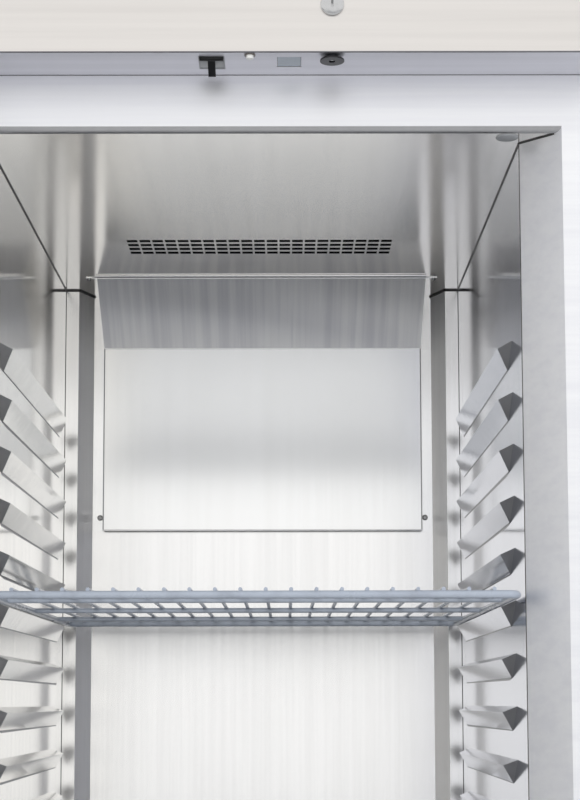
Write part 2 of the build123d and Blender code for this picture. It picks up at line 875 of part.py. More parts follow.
key_slot_width = 2.2
key_slot_height = 8.0
barrel_flange = 3.0
with BuildPart() as lock_barrel:
    bar(facing(-fascia_reach - seat_gap), (lock_across, lock_level), lock_barrel_radius + 2.0, barrel_flange)
    chamfer(lock_barrel.faces().sort_by(Axis.Y)[0].edges(), 1.0)
    bar(
        facing(-fascia_reach - seat_gap),
        (lock_across, lock_level),
        lock_barrel_radius - running_gap,
        -(fascia_reach + lock_depth + seat_gap + 2.0),
    )
    with BuildSketch(facing(-fascia_reach - barrel_flange - seat_gap)) as keyway:
        with Locations((lock_across, lock_level)):
            Rectangle(key_slot_width, key_slot_height)
    extrude(keyway.sketch, amount=-6.0, mode=Mode.SUBTRACT)
save(lock_barrel.part, "lock_barrel")

# Hinge brackets, each with its riveted pin
bracket_reach = -pivot_depth + bracket_width / 2 - 8.0
bracket_inner = pivot_x + bracket_width / 2 + 6.0
bracket_leg = 16.0
pivot_place = (pivot_x, y_at(pivot_depth))
pin_top_level = fascia_level - seat_gap - bracket_sheet
base_tongue = 20.0
with BuildPart() as hinge_brackets:
    block(
        (-half_width, bracket_inner),
        (-bracket_reach, 0),
        (pin_top_level, pin_top_level + bracket_sheet),
    )
    block(
        (-half_width, bracket_inner),
        (-bracket_sheet, 0),
        (pin_top_level - bracket_leg + bracket_sheet, pin_top_level),
    )
    bar(level(pin_top_level), pivot_place, pin_radius, -pin_length)
    block(
        (-half_width, bracket_inner),
        (-bracket_reach, base_tongue),
        (foot_height - bracket_sheet, foot_height),
    )
    bar(level(foot_height), pivot_place, pin_radius, pin_length)
save(hinge_brackets.part, "hinge_brackets")

# Door, built closed and then swung open about its pins
door_front = -door_gap - door_thickness
half_door = door_width / 2
skin_return = 16.0
bush_outer = pin_radius + running_gap + bush_wall
bush_length = pin_length - door_foot_gap + 4.0
socket_radius = lock_bolt_radius + 1.5
socket_depth = 14.0
open_door = Rot(0, 0, -door_open_angle)


def opened(piece):
    """A piece of the closed door, turned to where it stands open."""
    to_axis = Pos(*pivot_place, 0)
    return to_axis * open_door * to_axis.inverse() * piece


def save_on_door(closed_piece, name):
    """Write a piece of the door at its open place."""
    with BuildPart() as stands_open:
        add(opened(closed_piece))
    save(stands_open.part, name)


def door_sockets(radius, length):
    """Cut the hinge pockets at both ends of the door."""
    bar(level(door_bottom), pivot_place, radius, length, Mode.SUBTRACT)
    bar(level(door_top), pivot_place, radius, -length, Mode.SUBTRACT)


with BuildPart() as door_skin:
    block((-half_door, half_door), (door_front, -door_gap), (door_bottom, door_top))
    fillet(door_skin.edges().filter_by(Axis.Z).group_by(Axis.Y)[0], 3.0)
    block(
        (-half_door + door_sheet, half_door - door_sheet),
        (door_front + door_sheet, -door_gap - door_sheet),
        (door_bottom + door_sheet, door_top - door_sheet),
        Mode.SUBTRACT,
    )
    block(
        (-half_door + skin_return, half_door - skin_return),
        (-door_gap - 2 * door_sheet, -door_gap),
        (door_bottom + skin_return, door_top - skin_return),
        Mode.SUBTRACT,
    )
    door_sockets(bush_outer, 2 * door_sheet)
    bar(level(door_top), lock_place, socket_radius, -2 * door_sheet, Mode.SUBTRACT)
save_on_door(door_skin.part, "door_skin")

with BuildPart() as door_liner:
    with BuildSketch(facing(-door_gap)) as liner_plate:
        with Locations((0, (door_bottom + door_top) / 2)):
            Rectangle(door_width - 2 * skin_return, door_top - door_bottom - 2 * skin_return)
    extrude(liner_plate.sketch, amount=liner_sheet)
    pan_width = door_width - 2 * liner_margin
    pan_height = door_top - door_bottom - 2 * liner_margin
    with BuildSketch(facing(-door_gap)) as pan:
        with Locations((0, (door_bottom + door_top) / 2)):
            RectangleRounded(pan_width, pan_height, 20)
    extrude(pan.sketch, amount=-liner_rise, taper=30)
    with BuildSketch(facing(-door_gap + liner_sheet * -1)) as pan_inside:
        with Locations((0, (door_bottom + door_top) / 2)):
            RectangleRounded(pan_width - 2 * liner_sheet, pan_height - 2 * liner_sheet, 20)
    extrude(pan_inside.sketch, amount=-liner_rise, taper=30, mode=Mode.SUBTRACT)
save_on_door(door_liner.part, "door_liner")

with BuildPart() as door_insulation:
    block(
        (-half_door + door_sheet, half_door - door_sheet),
        (door_front + door_sheet, -door_gap - door_sheet),
        (door_bottom + door_sheet, door_top - door_sheet),
    )
    fillet(door_insulation.edges().filter_by(Axis.Z).group_by(Axis.Y)[0], 2.0)
    door_sockets(bush_outer, door_sheet + bush_length)
    bar(level(door_top), lock_place, socket_radius, -socket_depth, Mode.SUBTRACT)
save_on_door(door_insulation.part, "door_insulation")

with BuildPart() as hinge_bushes:
    for end, way in ((door_bottom, 1), (door_top, -1)):
        bar(level(end), pivot_place, bush_outer, way * bush_length)
        bar(level(end), pivot_place, pin_radius + running_gap, way * bush_length, Mode.SUBTRACT)
save_on_door(hinge_bushes.part, "hinge_bushes")

# Gasket: a foot held on the liner and a softer, wider nose that meets the frame
gasket_foot = 4.0
gasket_foot_width = 13.0
gasket_top = fascia_level - door_top_gap - gasket_inset + 4.0
gasket_bottom = door_bottom + gasket_inset
half_gasket = half_door - gasket_inset


def ring(depth, width, length):
    """Square ring round the door's inner face, run towards the cabinet."""
    margin = (gasket_width - width) / 2
    wide = 2 * (half_gasket - margin)
    tall = gasket_top - gasket_bottom - 2 * margin
    with BuildSketch(facing(depth)) as frame:
        with Locations((0, (gasket_top + gasket_bottom) / 2)):
            Rectangle(wide, tall)
            Rectangle(wide - 2 * width, tall - 2 * width, mode=Mode.SUBTRACT)
    extrude(frame.sketch, amount=-length)


with BuildPart() as door_gasket:
    ring(-door_gap, gasket_foot_width, gasket_foot)
    ring(-door_gap + gasket_foot, gasket_width, door_gap - gasket_foot - gasket_relief)
save_on_door(door_gasket.part, "door_gasket")

# Handle: a bow on two feet
handle_x = half_door - handle_from_edge
handle_low = handle_height - handle_length / 2
handle_high = handle_height + handle_length / 2
handle_width = 22.0
handle_thick = 12.0
with BuildPart() as door_handle:
    grip_plane = Plane.YZ.offset(handle_x)
    face_y = y_at(door_front)
    with BuildSketch(grip_plane) as bow:
        with BuildLine():
            FilletPolyline(
                (face_y, handle_low),
                (face_y - handle_stand, handle_low + 18),
                (face_y - handle_stand, handle_high - 18),
                (face_y, handle_high),
                radius=24,
            )
            offset(amount=handle_thick, side=Side.LEFT)
        make_face()
    extrude(bow.sketch, amount=handle_width / 2, both=True)
    block(
        (handle_x - half_door, handle_x + half_door),
        (door_front, door_front + 3 * handle_thick),
        (handle_low - handle_length, handle_high + handle_length),
        Mode.SUBTRACT,
    )
save_on_door(door_handle.part, "door_handle")

# Wire shelves
rail_radius = shelf_rail / 2
rod_radius = shelf_rod / 2
wire_radius = shelf_wire / 2
rail_across = shelf_width / 2 - rail_radius
runner_slope = atan2(runner_top_fall, runner_reach)
rail_seat = runner_high * (rail_across - (half_interior - runner_reach)) + rail_radius / cos(runner_slope)


def wire_shelf(front_depth, crest):
    """One shelf whose rails lie on the runners with their crests at a height."""
    middle = crest + rail_seat + seat_gap
    near = y_at(front_depth + rail_radius)
    far = y_at(front_depth + shelf_length - rail_radius)
    rod_level = middle + rail_radius - rod_radius
    wire_level = middle + rail_radius + wire_radius - shelf_weld
    with BuildPart() as shelf:
        with BuildSketch(level(middle)) as loop:
            with Locations((0, (near + far) / 2)):
                RectangleRounded(2 * rail_across, far - near, shelf_corner)
        path = loop.sketch.face().outer_wire()
        with BuildSketch(Plane(origin=path @ 0, z_dir=path % 0)) as rail_section:
            Circle(rail_radius)
        sweep(rail_section.sketch, path=path)
        for place in shelf_rod_places:
            bar(
                Plane.YZ.offset(-rail_across),
                (y_at(front_depth + place), rod_level),
                rod_radius,
                2 * rail_across,
            )
        with BuildSketch(facing(front_depth + shelf_length - rail_radius)) as wire_ends:
            with Locations((0, wire_level)):
                with GridLocations(shelf_wire_pitch, 1, shelf_wire_count, 1):
                    Circle(wire_radius)
        extrude(wire_ends.sketch, amount=shelf_length - 2 * rail_radius)
    return shelf.part


for name, row in shelf_runners.items():
    front_depth = shelf_front_gap - (shelf_pulled if name == "shelf_upper" else 0)
    save(wire_shelf(front_depth, crest_levels[row]), name)

# Feet: fixed sleeves under the base and the legs that screw into them
foot_places = {
    "foot_front_left": (-foot_across, -foot_along),
    "foot_front_right": (foot_across, -foot_along),
    "foot_rear_left": (-foot_across, foot_along),
    "foot_rear_right": (foot_across, foot_along),
}
sleeve_bottom = foot_height - sleeve_length
sleeve_plate = 4.0
sleeve_plate_size = 70.0
with BuildPart() as foot_sleeves:
    for place in foot_places.values():
        with BuildSketch(level(foot_height - sleeve_plate)) as plate:
            with Locations(place):
                RectangleRounded(sleeve_plate_size, sleeve_plate_size, 6)
        extrude(plate.sketch, amount=sleeve_plate)
        bar(level(sleeve_bottom), place, sleeve_radius, sleeve_length - sleeve_plate)
        bar(level(sleeve_bottom), place, stem_radius + stem_gap, sleeve_length - sleeve_plate, Mode.SUBTRACT)
save(foot_sleeves.part, "foot_sleeves")

stem_top = foot_height - sleeve_plate - 3.0
collar_height = sleeve_bottom - pad_height - seat_gap
for name, place in foot_places.items():
    with BuildPart() as foot:
        bar(level(0), place, pad_radius, pad_height)
        chamfer(foot.faces().sort_by(Axis.Z)[-1].edges(), 5.0)
        bar(level(pad_height), place, sleeve_radius, collar_height)
        bar(level(pad_height + collar_height), place, stem_radius, stem_top - pad_height - collar_height)
    save(foot.part, name)

# Evaporator chamber on the roof
with BuildPart() as evaporator_hood:
    block(
        (-chamber_half_width - hood_wall, chamber_half_width + hood_wall),
        (chamber_start - hood_wall, chamber_end + hood_wall),
        (hood_floor, chamber_top + hood_wall),
    )
    fillet(evaporator_hood.edges().filter_by(Axis.Z), 12)
    block(
        (-chamber_half_width, chamber_half_width),
        (chamber_start, chamber_end),
        (hood_floor, chamber_top),
        Mode.SUBTRACT,
    )
    drain_pipe_radius = 8.0
    drain_pipe_level = hood_floor + 30.0
    drain_pipe_depth = chamber_start + drain_pipe_setback
    bar(
        Plane.YZ.offset(chamber_half_width),
        (y_at(drain_pipe_depth), drain_pipe_level),
        drain_pipe_radius + seat_gap,
        hood_wall,
        Mode.SUBTRACT,
    )
save(evaporator_hood.part, "evaporator_hood")

bulkhead_depth = chamber_start + bulkhead_setback
fan_level = hood_floor + 98.0
with BuildPart() as fan_bulkhead:
    block(
        (-chamber_half_width, chamber_half_width),
        (bulkhead_depth, bulkhead_depth + unit_sheet),
        (hood_floor, chamber_top),
    )
    bar(
        facing(bulkhead_depth + 2 * unit_sheet),
        (0, fan_level),
        evaporator_fan_radius + fan_clearance,
        4 * unit_sheet,
        Mode.SUBTRACT,
    )
    ring_depth = 14.0
    with BuildSketch(facing(bulkhead_depth)) as fan_ring:
        with Locations((0, fan_level)):
            Circle(evaporator_fan_radius + fan_clearance + unit_sheet)
            Circle(evaporator_fan_radius + fan_clearance, mode=Mode.SUBTRACT)
    extrude(fan_ring.sketch, amount=-(ring_depth + unit_sheet))
    arm_width = 8.0
    for lean in (-1, 1):
        block(
            (-chamber_half_width * 0.4, chamber_half_width * 0.4),
            (bulkhead_depth - unit_sheet, bulkhead_depth),
            (fan_level + lean * 14 - arm_width / 2, fan_level + lean * 14 + arm_width / 2),
        )
save(fan_bulkhead.part, "fan_bulkhead")


def fan(back_depth, axis_x, axis_z, radius, hub_radius, width):
    """Axial fan: a hub and twisted blades on a shaft that points to the front."""
    with BuildPart() as wheel:
        bar(facing(back_depth), (axis_x, axis_z), hub_radius, width)
        blade_root = hub_radius - 2.0
        blade_span = radius - blade_root
        blade_chord = 0.9 * radius
        blade_thick = 2.0
        for number in range(fan_blades):
            turn = 360 / fan_blades * number
            blade = Pos(0, 0, blade_root + blade_span / 2) * Rot(0, 0, 28) * Box(blade_chord, blade_thick, blade_span)
            place = Pos(axis_x, y_at(back_depth) - width / 2, axis_z) * Rot(0, turn, 0)
            add(place * blade)
        with BuildSketch(facing(back_depth)) as sweep_circle:
            with Locations((axis_x, axis_z)):
                Circle(radius)
        extrude(sweep_circle.sketch, amount=width, mode=Mode.INTERSECT)
        bar(facing(back_depth), (axis_x, axis_z), shaft_radius + running_gap, width, Mode.SUBTRACT)
    return wheel.part


motor_length = 44.0
evaporator_fan_width = 22.0
evaporator_fan_back = bulkhead_depth + unit_sheet + evaporator_fan_width
motor_back = bulkhead_depth - unit_sheet
with BuildPart() as evaporator_fan_motor:
    bar(facing(motor_back), (0, fan_level), 24.0, motor_length)
    fillet(evaporator_fan_motor.faces().sort_by(Axis.Y)[0].edges(), 6)
    bar(facing(evaporator_fan_back - 1), (0, fan_level), shaft_radius, evaporator_fan_back - motor_back)
save(evaporator_fan_motor.part, "evaporator_fan_motor")
save(
    fan(evaporator_fan_back, 0, fan_level, evaporator_fan_radius, 20.0, evaporator_fan_width),
    "evaporator_fan",
)

coil_start = chamber_start + coil_setback
coil_depth = 74.0
coil_half = 205.0
tray_level = hood_floor + 22.0
tray_height = 16.0
coil_low = tray_level + unit_sheet
coil_high = chamber_top - 2.0
fin_pitch = 12.0
fin_thick = 1.2


def finned_coil(across, depths, heights, tube_rows):
    """Coil of a heat exchanger: thin fins on a row of tubes that pass through them."""
    count = int((across[1] - across[0]) // fin_pitch) + 1
    middle = (across[0] + across[1]) / 2
    with BuildSketch(facing(depths[1])) as fins:
        with Locations((middle, (heights[0] + heights[1]) / 2)):
            with GridLocations(fin_pitch, 1, count, 1):
                Rectangle(fin_thick, heights[1] - heights[0])
    extrude(fins.sketch, amount=depths[1] - depths[0])
    step = (heights[1] - heights[0]) / tube_rows
    for row in range(tube_rows):
        block(
            across,
            ((depths[0] + depths[1]) / 2 - 5, (depths[0] + depths[1]) / 2 + 5),
            (heights[0] + (row + 0.5) * step - 5, heights[0] + (row + 0.5) * step + 5),
        )


with BuildPart() as evaporator_coil:
    finned_coil((-coil_half, coil_half), (coil_start, coil_start + coil_depth), (coil_low, coil_high), 4)
save(evaporator_coil.part, "evaporator_coil")

tray_half = coil_half + 8.0
with BuildPart() as drip_tray:
    tray_depths = (coil_start - 8, coil_start + coil_depth + 8)
    block((-tray_half, tray_half), tray_depths, (tray_level, tray_level + tray_height))
    block(
        (-tray_half + unit_sheet, tray_half - unit_sheet),
        (tray_depths[0] + unit_sheet, tray_depths[1] - unit_sheet),
        (tray_level + unit_sheet, tray_level + tray_height),
        Mode.SUBTRACT,
    )
    for edge in (tray_depths[0], tray_depths[1] - unit_sheet):
        block((-tray_half, tray_half), (edge, edge + unit_sheet), (hood_floor, tray_level))
    bar(
        Plane.YZ.offset(tray_half - unit_sheet),
        (y_at(drain_pipe_depth), drain_pipe_level),
        drain_pipe_radius,
        chamber_half_width + hood_wall + 14 - tray_half + unit_sheet,
    )
    bar(
        Plane.YZ.offset(tray_half - 2 * unit_sheet),
        (y_at(drain_pipe_depth), drain_pipe_level),
        drain_pipe_radius - 1.5,
        chamber_half_width + hood_wall + 20 - tray_half + unit_sheet,
        Mode.SUBTRACT,
    )
save(drip_tray.part, "drip_tray")

pan_low = roof_level
pan_across = (chamber_half_width + hood_wall + 4, inside_casing - 4)
pan_depths = (chamber_start + pan_front_inset, chamber_end - pan_rear_inset)
with BuildPart() as condensate_pan:
    block(pan_across, pan_depths, (pan_low, pan_low + condensate_rim))
    block(
        (pan_across[0] + unit_sheet, pan_across[1] - unit_sheet),
        (pan_depths[0] + unit_sheet, pan_depths[1] - unit_sheet),
        (pan_low + unit_sheet, pan_low + condensate_rim),
        Mode.SUBTRACT,
    )
save(condensate_pan.part, "condensate_pan")

# Condensing unit
unit_floor = roof_level + unit_sheet
unit_depths = (unit_front_gap, chamber_start - hood_wall - unit_rear_gap)
condenser_depths = (70.0, 130.0)
condenser_middle = sum(condenser_depths) / 2
with BuildPart() as unit_base:
    block(unit_base_across, unit_depths, (roof_level, unit_floor))
    for edge in (unit_depths[0], unit_depths[1] - unit_sheet):
        block(unit_base_across, (edge, edge + unit_sheet), (unit_floor, unit_floor + 14))
save(unit_base.part, "unit_base")

compressor_across = -175.0
compressor_depth = sum(unit_depths) / 2
shell_radius = 82.0
shell_height = 178.0
shell_lift = 18.0
shell_low = unit_floor + shell_lift
stub_length = 8.0
pipe_radius = 5.0
suction_level = shell_low + 96.0
discharge_level = shell_low + 70.0
discharge_setback = 40.0
discharge_depth = compressor_depth - discharge_setback
with BuildPart() as compressor:
    bar(level(shell_low), (compressor_across, y_at(compressor_depth)), shell_radius, shell_height)
    fillet(compressor.faces().sort_by(Axis.Z)[-1].edges(), 58)
    fillet(compressor.faces().sort_by(Axis.Z)[0].edges(), 24)
    block(
        (compressor_across - 88, compressor_across + 88),
        (compressor_depth - 30, compressor_depth + 30),
        (shell_low - 2, shell_low + 2),
    )
    for side in (-1, 1):
        for end in (-1, 1):
            bar(
                level(unit_floor),
                (compressor_across + side * 74, y_at(compressor_depth + end * 20)),
                9.0,
                shell_lift,
            )
    block(
        (compressor_across + shell_radius - 6, compressor_across + shell_radius + 22),
        (compressor_depth - 20, compressor_depth + 36),
        (shell_low + 60, shell_low + 118),
    )
    bar(
        facing(compressor_depth + shell_radius + stub_length),
        (compressor_across, suction_level),
        pipe_radius + 1,
        stub_length + 6,
    )
    bar(
        Plane.YZ.offset(compressor_across + shell_radius - 20),
        (y_at(discharge_depth), discharge_level),
        pipe_radius + 1,
        stub_length + 20,
    )
save(compressor.part, "compressor")

condenser_across = (10.0, 300.0)
condenser_heights = (unit_floor, unit_floor + 240.0)
with BuildPart() as condenser_coil:
    finned_coil(condenser_across, condenser_depths, condenser_heights, 5)
save(condenser_coil.part, "condenser_coil")

condenser_fan_x = sum(condenser_across) / 2
condenser_fan_z = unit_floor + 120.0
shroud_back = condenser_depths[1] + 46.0
with BuildPart() as condenser_shroud:
    block(condenser_across, (condenser_depths[1], shroud_back), condenser_heights)
    block(
        (condenser_across[0] + unit_sheet, condenser_across[1] - unit_sheet),
        (condenser_depths[1], shroud_back - unit_sheet),
        (condenser_heights[0], condenser_heights[1] - unit_sheet),
        Mode.SUBTRACT,
    )
    bar(
        facing(shroud_back + unit_sheet),
        (condenser_fan_x, condenser_fan_z),
        condenser_fan_radius + fan_clearance,
        3 * unit_sheet,
        Mode.SUBTRACT,
    )
    for lean in (-1, 1):
        block(
            (condenser_fan_x - condenser_fan_radius - 12, condenser_fan_x + condenser_fan_radius + 12),
            (shroud_back, shroud_back + unit_sheet),
            (condenser_fan_z + lean * 18 - 5, condenser_fan_z + lean * 18 + 5),
        )
save(condenser_shroud.part, "condenser_shroud")

condenser_motor_length = 60.0
with BuildPart() as condenser_fan_motor:
    motor_front = shroud_back + unit_sheet
    bar(facing(motor_front + condenser_motor_length), (condenser_fan_x, condenser_fan_z), 36.0, condenser_motor_length)
    fillet(condenser_fan_motor.faces().sort_by(Axis.Y)[-1].edges(), 8)
    bar(
        facing(motor_front),
        (condenser_fan_x, condenser_fan_z),
        shaft_radius,
        40.0,
    )
save(condenser_fan_motor.part, "condenser_fan_motor")
condenser_fan_back = shroud_back - 4.0
save(
    fan(condenser_fan_back, condenser_fan_x, condenser_fan_z, condenser_fan_radius, 26.0, 30.0),
    "condenser_fan",
)

# Refrigerant pipes from the compressor to the evaporator chamber and to the condenser
pipe_bend = 18.0


def pipe(points):
    """Round pipe along straight runs with tangent bends."""
    with BuildLine() as route:
        FilletPolyline(*points, radius=pipe_bend)
    start = Plane(origin=route.line @ 0, z_dir=route.line % 0)
    with BuildSketch(start) as bore:
        Circle(pipe_radius)
    sweep(bore.sketch, path=route.line)


with BuildPart() as refrigerant_pipes:
    suction_start = compressor_depth + shell_radius + stub_length
    pipe(
        [
            (compressor_across, y_at(suction_start), suction_level),
            (compressor_across, y_at(suction_start + 50), suction_level),
            (compressor_across, y_at(suction_start + 50), suction_level - 46),
            (compressor_across, y_at(chamber_start - hood_wall), suction_level - 46),
        ]
    )
    discharge_start = compressor_across + shell_radius + stub_length
    pipe(
        [
            (discharge_start, y_at(discharge_depth), discharge_level),
            (discharge_start + 40, y_at(discharge_depth), discharge_level),
            (discharge_start + 40, y_at(condenser_middle), discharge_level),
            (condenser_across[0], y_at(condenser_middle), discharge_level),
        ]
    )
save(refrigerant_pipes.part, "refrigerant_pipes")

# Gland for the supply lead, at the back of the compartment
with BuildPart() as cable_gland:
    gland_place = (gland_across, gland_level)
    bar(facing(body_depth + 3), gland_place, gland_radius + 4, 3 + casing_sheet)
    bar(facing(body_depth + 14), gland_place, gland_radius + 1, 12)
    bar(facing(body_depth - casing_sheet), gland_place, gland_radius - running_gap, 14)
    bar(facing(body_depth + 15), gland_place, gland_radius - 5, 40, Mode.SUBTRACT)
save(cable_gland.part, "cable_gland")
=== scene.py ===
"""Looks of an upright fish refrigerator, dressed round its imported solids.

Places are in metres: +X runs to the right seen from the front, +Y to the back and +Z up.
"""

from __future__ import annotations

import json
import logging
import math
from dataclasses import dataclass
from enum import Enum
from typing import Any, Callable, Iterable, Sequence

import bmesh
import bpy
from mathutils import Matrix, Vector

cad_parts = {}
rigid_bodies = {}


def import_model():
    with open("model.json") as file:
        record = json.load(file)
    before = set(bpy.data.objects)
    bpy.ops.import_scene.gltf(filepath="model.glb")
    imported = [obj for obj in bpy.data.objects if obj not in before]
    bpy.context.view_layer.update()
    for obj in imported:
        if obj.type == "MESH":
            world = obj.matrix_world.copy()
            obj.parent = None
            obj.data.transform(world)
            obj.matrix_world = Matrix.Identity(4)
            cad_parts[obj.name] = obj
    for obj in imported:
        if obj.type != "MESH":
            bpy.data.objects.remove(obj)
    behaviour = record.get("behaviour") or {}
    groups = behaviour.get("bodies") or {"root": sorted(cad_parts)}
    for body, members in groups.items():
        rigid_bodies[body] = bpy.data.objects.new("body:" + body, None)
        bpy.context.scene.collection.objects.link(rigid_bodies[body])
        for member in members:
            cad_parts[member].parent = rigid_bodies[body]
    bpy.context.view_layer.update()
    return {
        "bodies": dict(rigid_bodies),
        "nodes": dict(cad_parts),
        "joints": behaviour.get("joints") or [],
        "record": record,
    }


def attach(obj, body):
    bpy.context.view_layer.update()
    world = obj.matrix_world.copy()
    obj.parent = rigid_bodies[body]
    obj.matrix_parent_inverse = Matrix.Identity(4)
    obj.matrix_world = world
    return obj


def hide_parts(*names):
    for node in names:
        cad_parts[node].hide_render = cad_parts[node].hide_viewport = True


LOG = logging.getLogger("fish_refrigerator")
SMOOTH_ANGLE = 32.0  # degrees up to which a node's edges are shaded smooth
SAME_PLANE = 0.2  # degrees between faces that count as one
SAME_CORNER = 2e-6  # metres between corners that count as one
Point = tuple[float, float, float]
Colour = tuple[float, float, float]


# Shader maths


class Wire:
    """One output of a material's nodes, with the arithmetic that shader maths needs."""

    def __init__(self, paint: Paint, socket: bpy.types.NodeSocket) -> None:
        """Keep the socket and the material that it belongs to.

        Args:
            paint: the material under construction.
            socket: an output socket of one of its nodes.
        """
        self.paint = paint
        self.socket = socket

    def _math(self, operation: str, first: Any, second: Any) -> Wire:
        """Add one Math node.

        Args:
            operation: name of the Math node's operation.
            first: a wire or a number.
            second: a wire or a number.

        Returns:
            The node's result.
        """
        node = self.paint.node(
            "ShaderNodeMath", {"operation": operation}, {0: first, 1: second}
        )
        return Wire(self.paint, node.outputs[0])

    def __add__(self, other: Any) -> Wire:
        """Self plus other."""
        return self._math("ADD", self, other)

    def __radd__(self, other: Any) -> Wire:
        """Other plus self."""
        return self._math("ADD", other, self)

    def __sub__(self, other: Any) -> Wire:
        """Self minus other."""
        return self._math("SUBTRACT", self, other)

    def __rsub__(self, other: Any) -> Wire:
        """Other minus self."""
        return self._math("SUBTRACT", other, self)

    def __mul__(self, other: Any) -> Wire:
        """Self times other."""
        return self._math("MULTIPLY", self, other)

    def __rmul__(self, other: Any) -> Wire:
        """Other times self."""
        return self._math("MULTIPLY", other, self)

    def over(self, low: float, high: float) -> Wire:
        """Smooth step that is 0 below low and 1 above high.

        Args:
            low: value at which the step starts.
            high: value at which the step is done.

        Returns:
            The stepped value.
        """
        node = self.paint.node(
            "ShaderNodeMapRange",
            {"interpolation_type": "SMOOTHSTEP"},
            {"Value": self, "From Min": low, "From Max": high},
        )
        return Wire(self.paint, node.outputs[0])


class Paint:
    """A material under construction."""

    def __init__(self, name: str) -> None:
        """Start a material with one Principled shader.

        Args:
            name: the finish's name.
        """
        self.material = bpy.data.materials.new(name)
        self.material.use_nodes = True
        self.tree = self.material.node_tree
        self.tree.nodes.clear()
        self.shader = self.node("ShaderNodeBsdfPrincipled")
        self.node("ShaderNodeOutputMaterial", {}, {"Surface": Wire(self, self.shader.outputs[0])})

    def node(
        self,
        kind: str,
        settings: dict[str, Any] | None = None,
        sockets: dict[Any, Any] | None = None,
    ) -> bpy.types.Node:
        """Add one node.

        Args:
            kind: the node's type.
            settings: its properties, set first; "stops" fills a colour ramp.
            sockets: values or wires of its inputs, by name or number.

        Returns:
            The node.
        """
        made = self.tree.nodes.new(kind)
        for name, value in (settings or {}).items():
            if name == "stops":
                ramp = made.color_ramp
                while len(ramp.elements) < len(value):
                    ramp.elements.new(0.5)
                for element, (place, colour) in zip(ramp.elements, value):
                    element.position = place
                    element.color = (*colour, 1.0)
            else:
                setattr(made, name, value)
        for name, value in (sockets or {}).items():
            if isinstance(value, Wire):
                self.tree.links.new(value.socket, made.inputs[name])
            else:
                made.inputs[name].default_value = value
        return made

    def place(self, scale: Point = (1.0, 1.0, 1.0), shift: Point = (0.0, 0.0, 0.0)) -> Wire:
        """Object coordinates, stretched for a pattern.

        Args:
            scale: how often the pattern repeats along each axis, per metre.
            shift: where the pattern starts.

        Returns:
            The coordinates.
        """
        origin = self.node("ShaderNodeTexCoord")
        mapping = self.node(
            "ShaderNodeMapping",
            {},
            {"Vector": Wire(self, origin.outputs["Object"]), "Scale": scale, "Location": shift},
        )
        return Wire(self, mapping.outputs[0])

    def noise(
        self,
        scale: Point,
        detail: float = 2.0,
        rough: float = 0.5,
        shift: Point = (0.0, 0.0, 0.0),
    ) -> Wire:
        """Noise from 0 to 1.

        Args:
            scale: repeats per metre along each axis.
            detail: number of finer layers.
            rough: strength of the finer layers.
            shift: offset, so that two noises differ.

        Returns:
            The noise's value.
        """
        node = self.node(
            "ShaderNodeTexNoise",
            {},
            {
                "Vector": self.place(scale, shift),
                "Scale": 1.0,
                "Detail": detail,
                "Roughness": rough,
            },
        )
        return Wire(self, node.outputs[0])

    def cells(self, scale: float) -> bpy.types.Node:
        """Voronoi cells, so many to the metre."""
        return self.node(
            "ShaderNodeTexVoronoi", {}, {"Vector": self.place((scale,) * 3), "Scale": 1.0}
        )

    def coordinate(self, axis: int) -> Wire:
        """One coordinate of the place on the object, in metres."""
        node = self.node("ShaderNodeSeparateXYZ", {}, {0: self.place()})
        return Wire(self, node.outputs[axis])

    def mix(self, factor: Any, first: Any, second: Any) -> Wire:
        """Mix two colours, through the colour sockets 6, 7 and 2 of a Mix node.

        Args:
            factor: share of the second colour.
            first: a wire or a colour.
            second: a wire or a colour.

        Returns:
            The mixed colour.
        """
        one, other = ((*c, 1.0) if isinstance(c, tuple) else c for c in (first, second))
        node = self.node("ShaderNodeMix", {"data_type": "RGBA"}, {0: factor, 6: one, 7: other})
        return Wire(self, node.outputs[2])

    def bump(self, height: Wire, depth: float, under: Wire | None = None) -> Wire:
        """Bend the surface's normal by a height.

        Args:
            height: the relief, from 0 to 1.
            depth: its depth in metres.
            under: a normal that it lies on.

        Returns:
            The bent normal.
        """
        sockets: dict[Any, Any] = {"Height": height, "Distance": depth, "Strength": 1.0}
        if under is not None:
            sockets["Normal"] = under
        return Wire(self, self.node("ShaderNodeBump", {}, sockets).outputs[0])

    def set(self, **values: Any) -> None:
        """Fill inputs of the Principled shader.

        Args:
            values: input names with underscores for spaces, and their numbers, colours or wires.
        """
        for name, value in values.items():
            socket = self.shader.inputs[name.replace("_", " ")]
            if isinstance(value, Wire):
                self.tree.links.new(value.socket, socket)
            else:
                socket.default_value = (*value, 1.0) if isinstance(value, tuple) else value


# Finishes


class Grain(Enum):
    """Way in which a sheet was rolled: the repeats of its grain per metre along X, Y and Z."""

    ALONG_X = (9.0, 1100.0, 1100.0)
    ALONG_Y = (1100.0, 9.0, 1100.0)
    ALONG_Z = (1100.0, 1100.0, 9.0)
    DOWN_SLOPE = (1100.0, 9.0, 9.0)

    def streaks(self, across: float, along: float) -> Point:
        """Repeats per metre of wider streaks that follow the grain.

        Args:
            across: repeats across the grain.
            along: repeats along it.

        Returns:
            Repeats along X, Y and Z.
        """
        return tuple(along if size == min(self.value) else across for size in self.value)


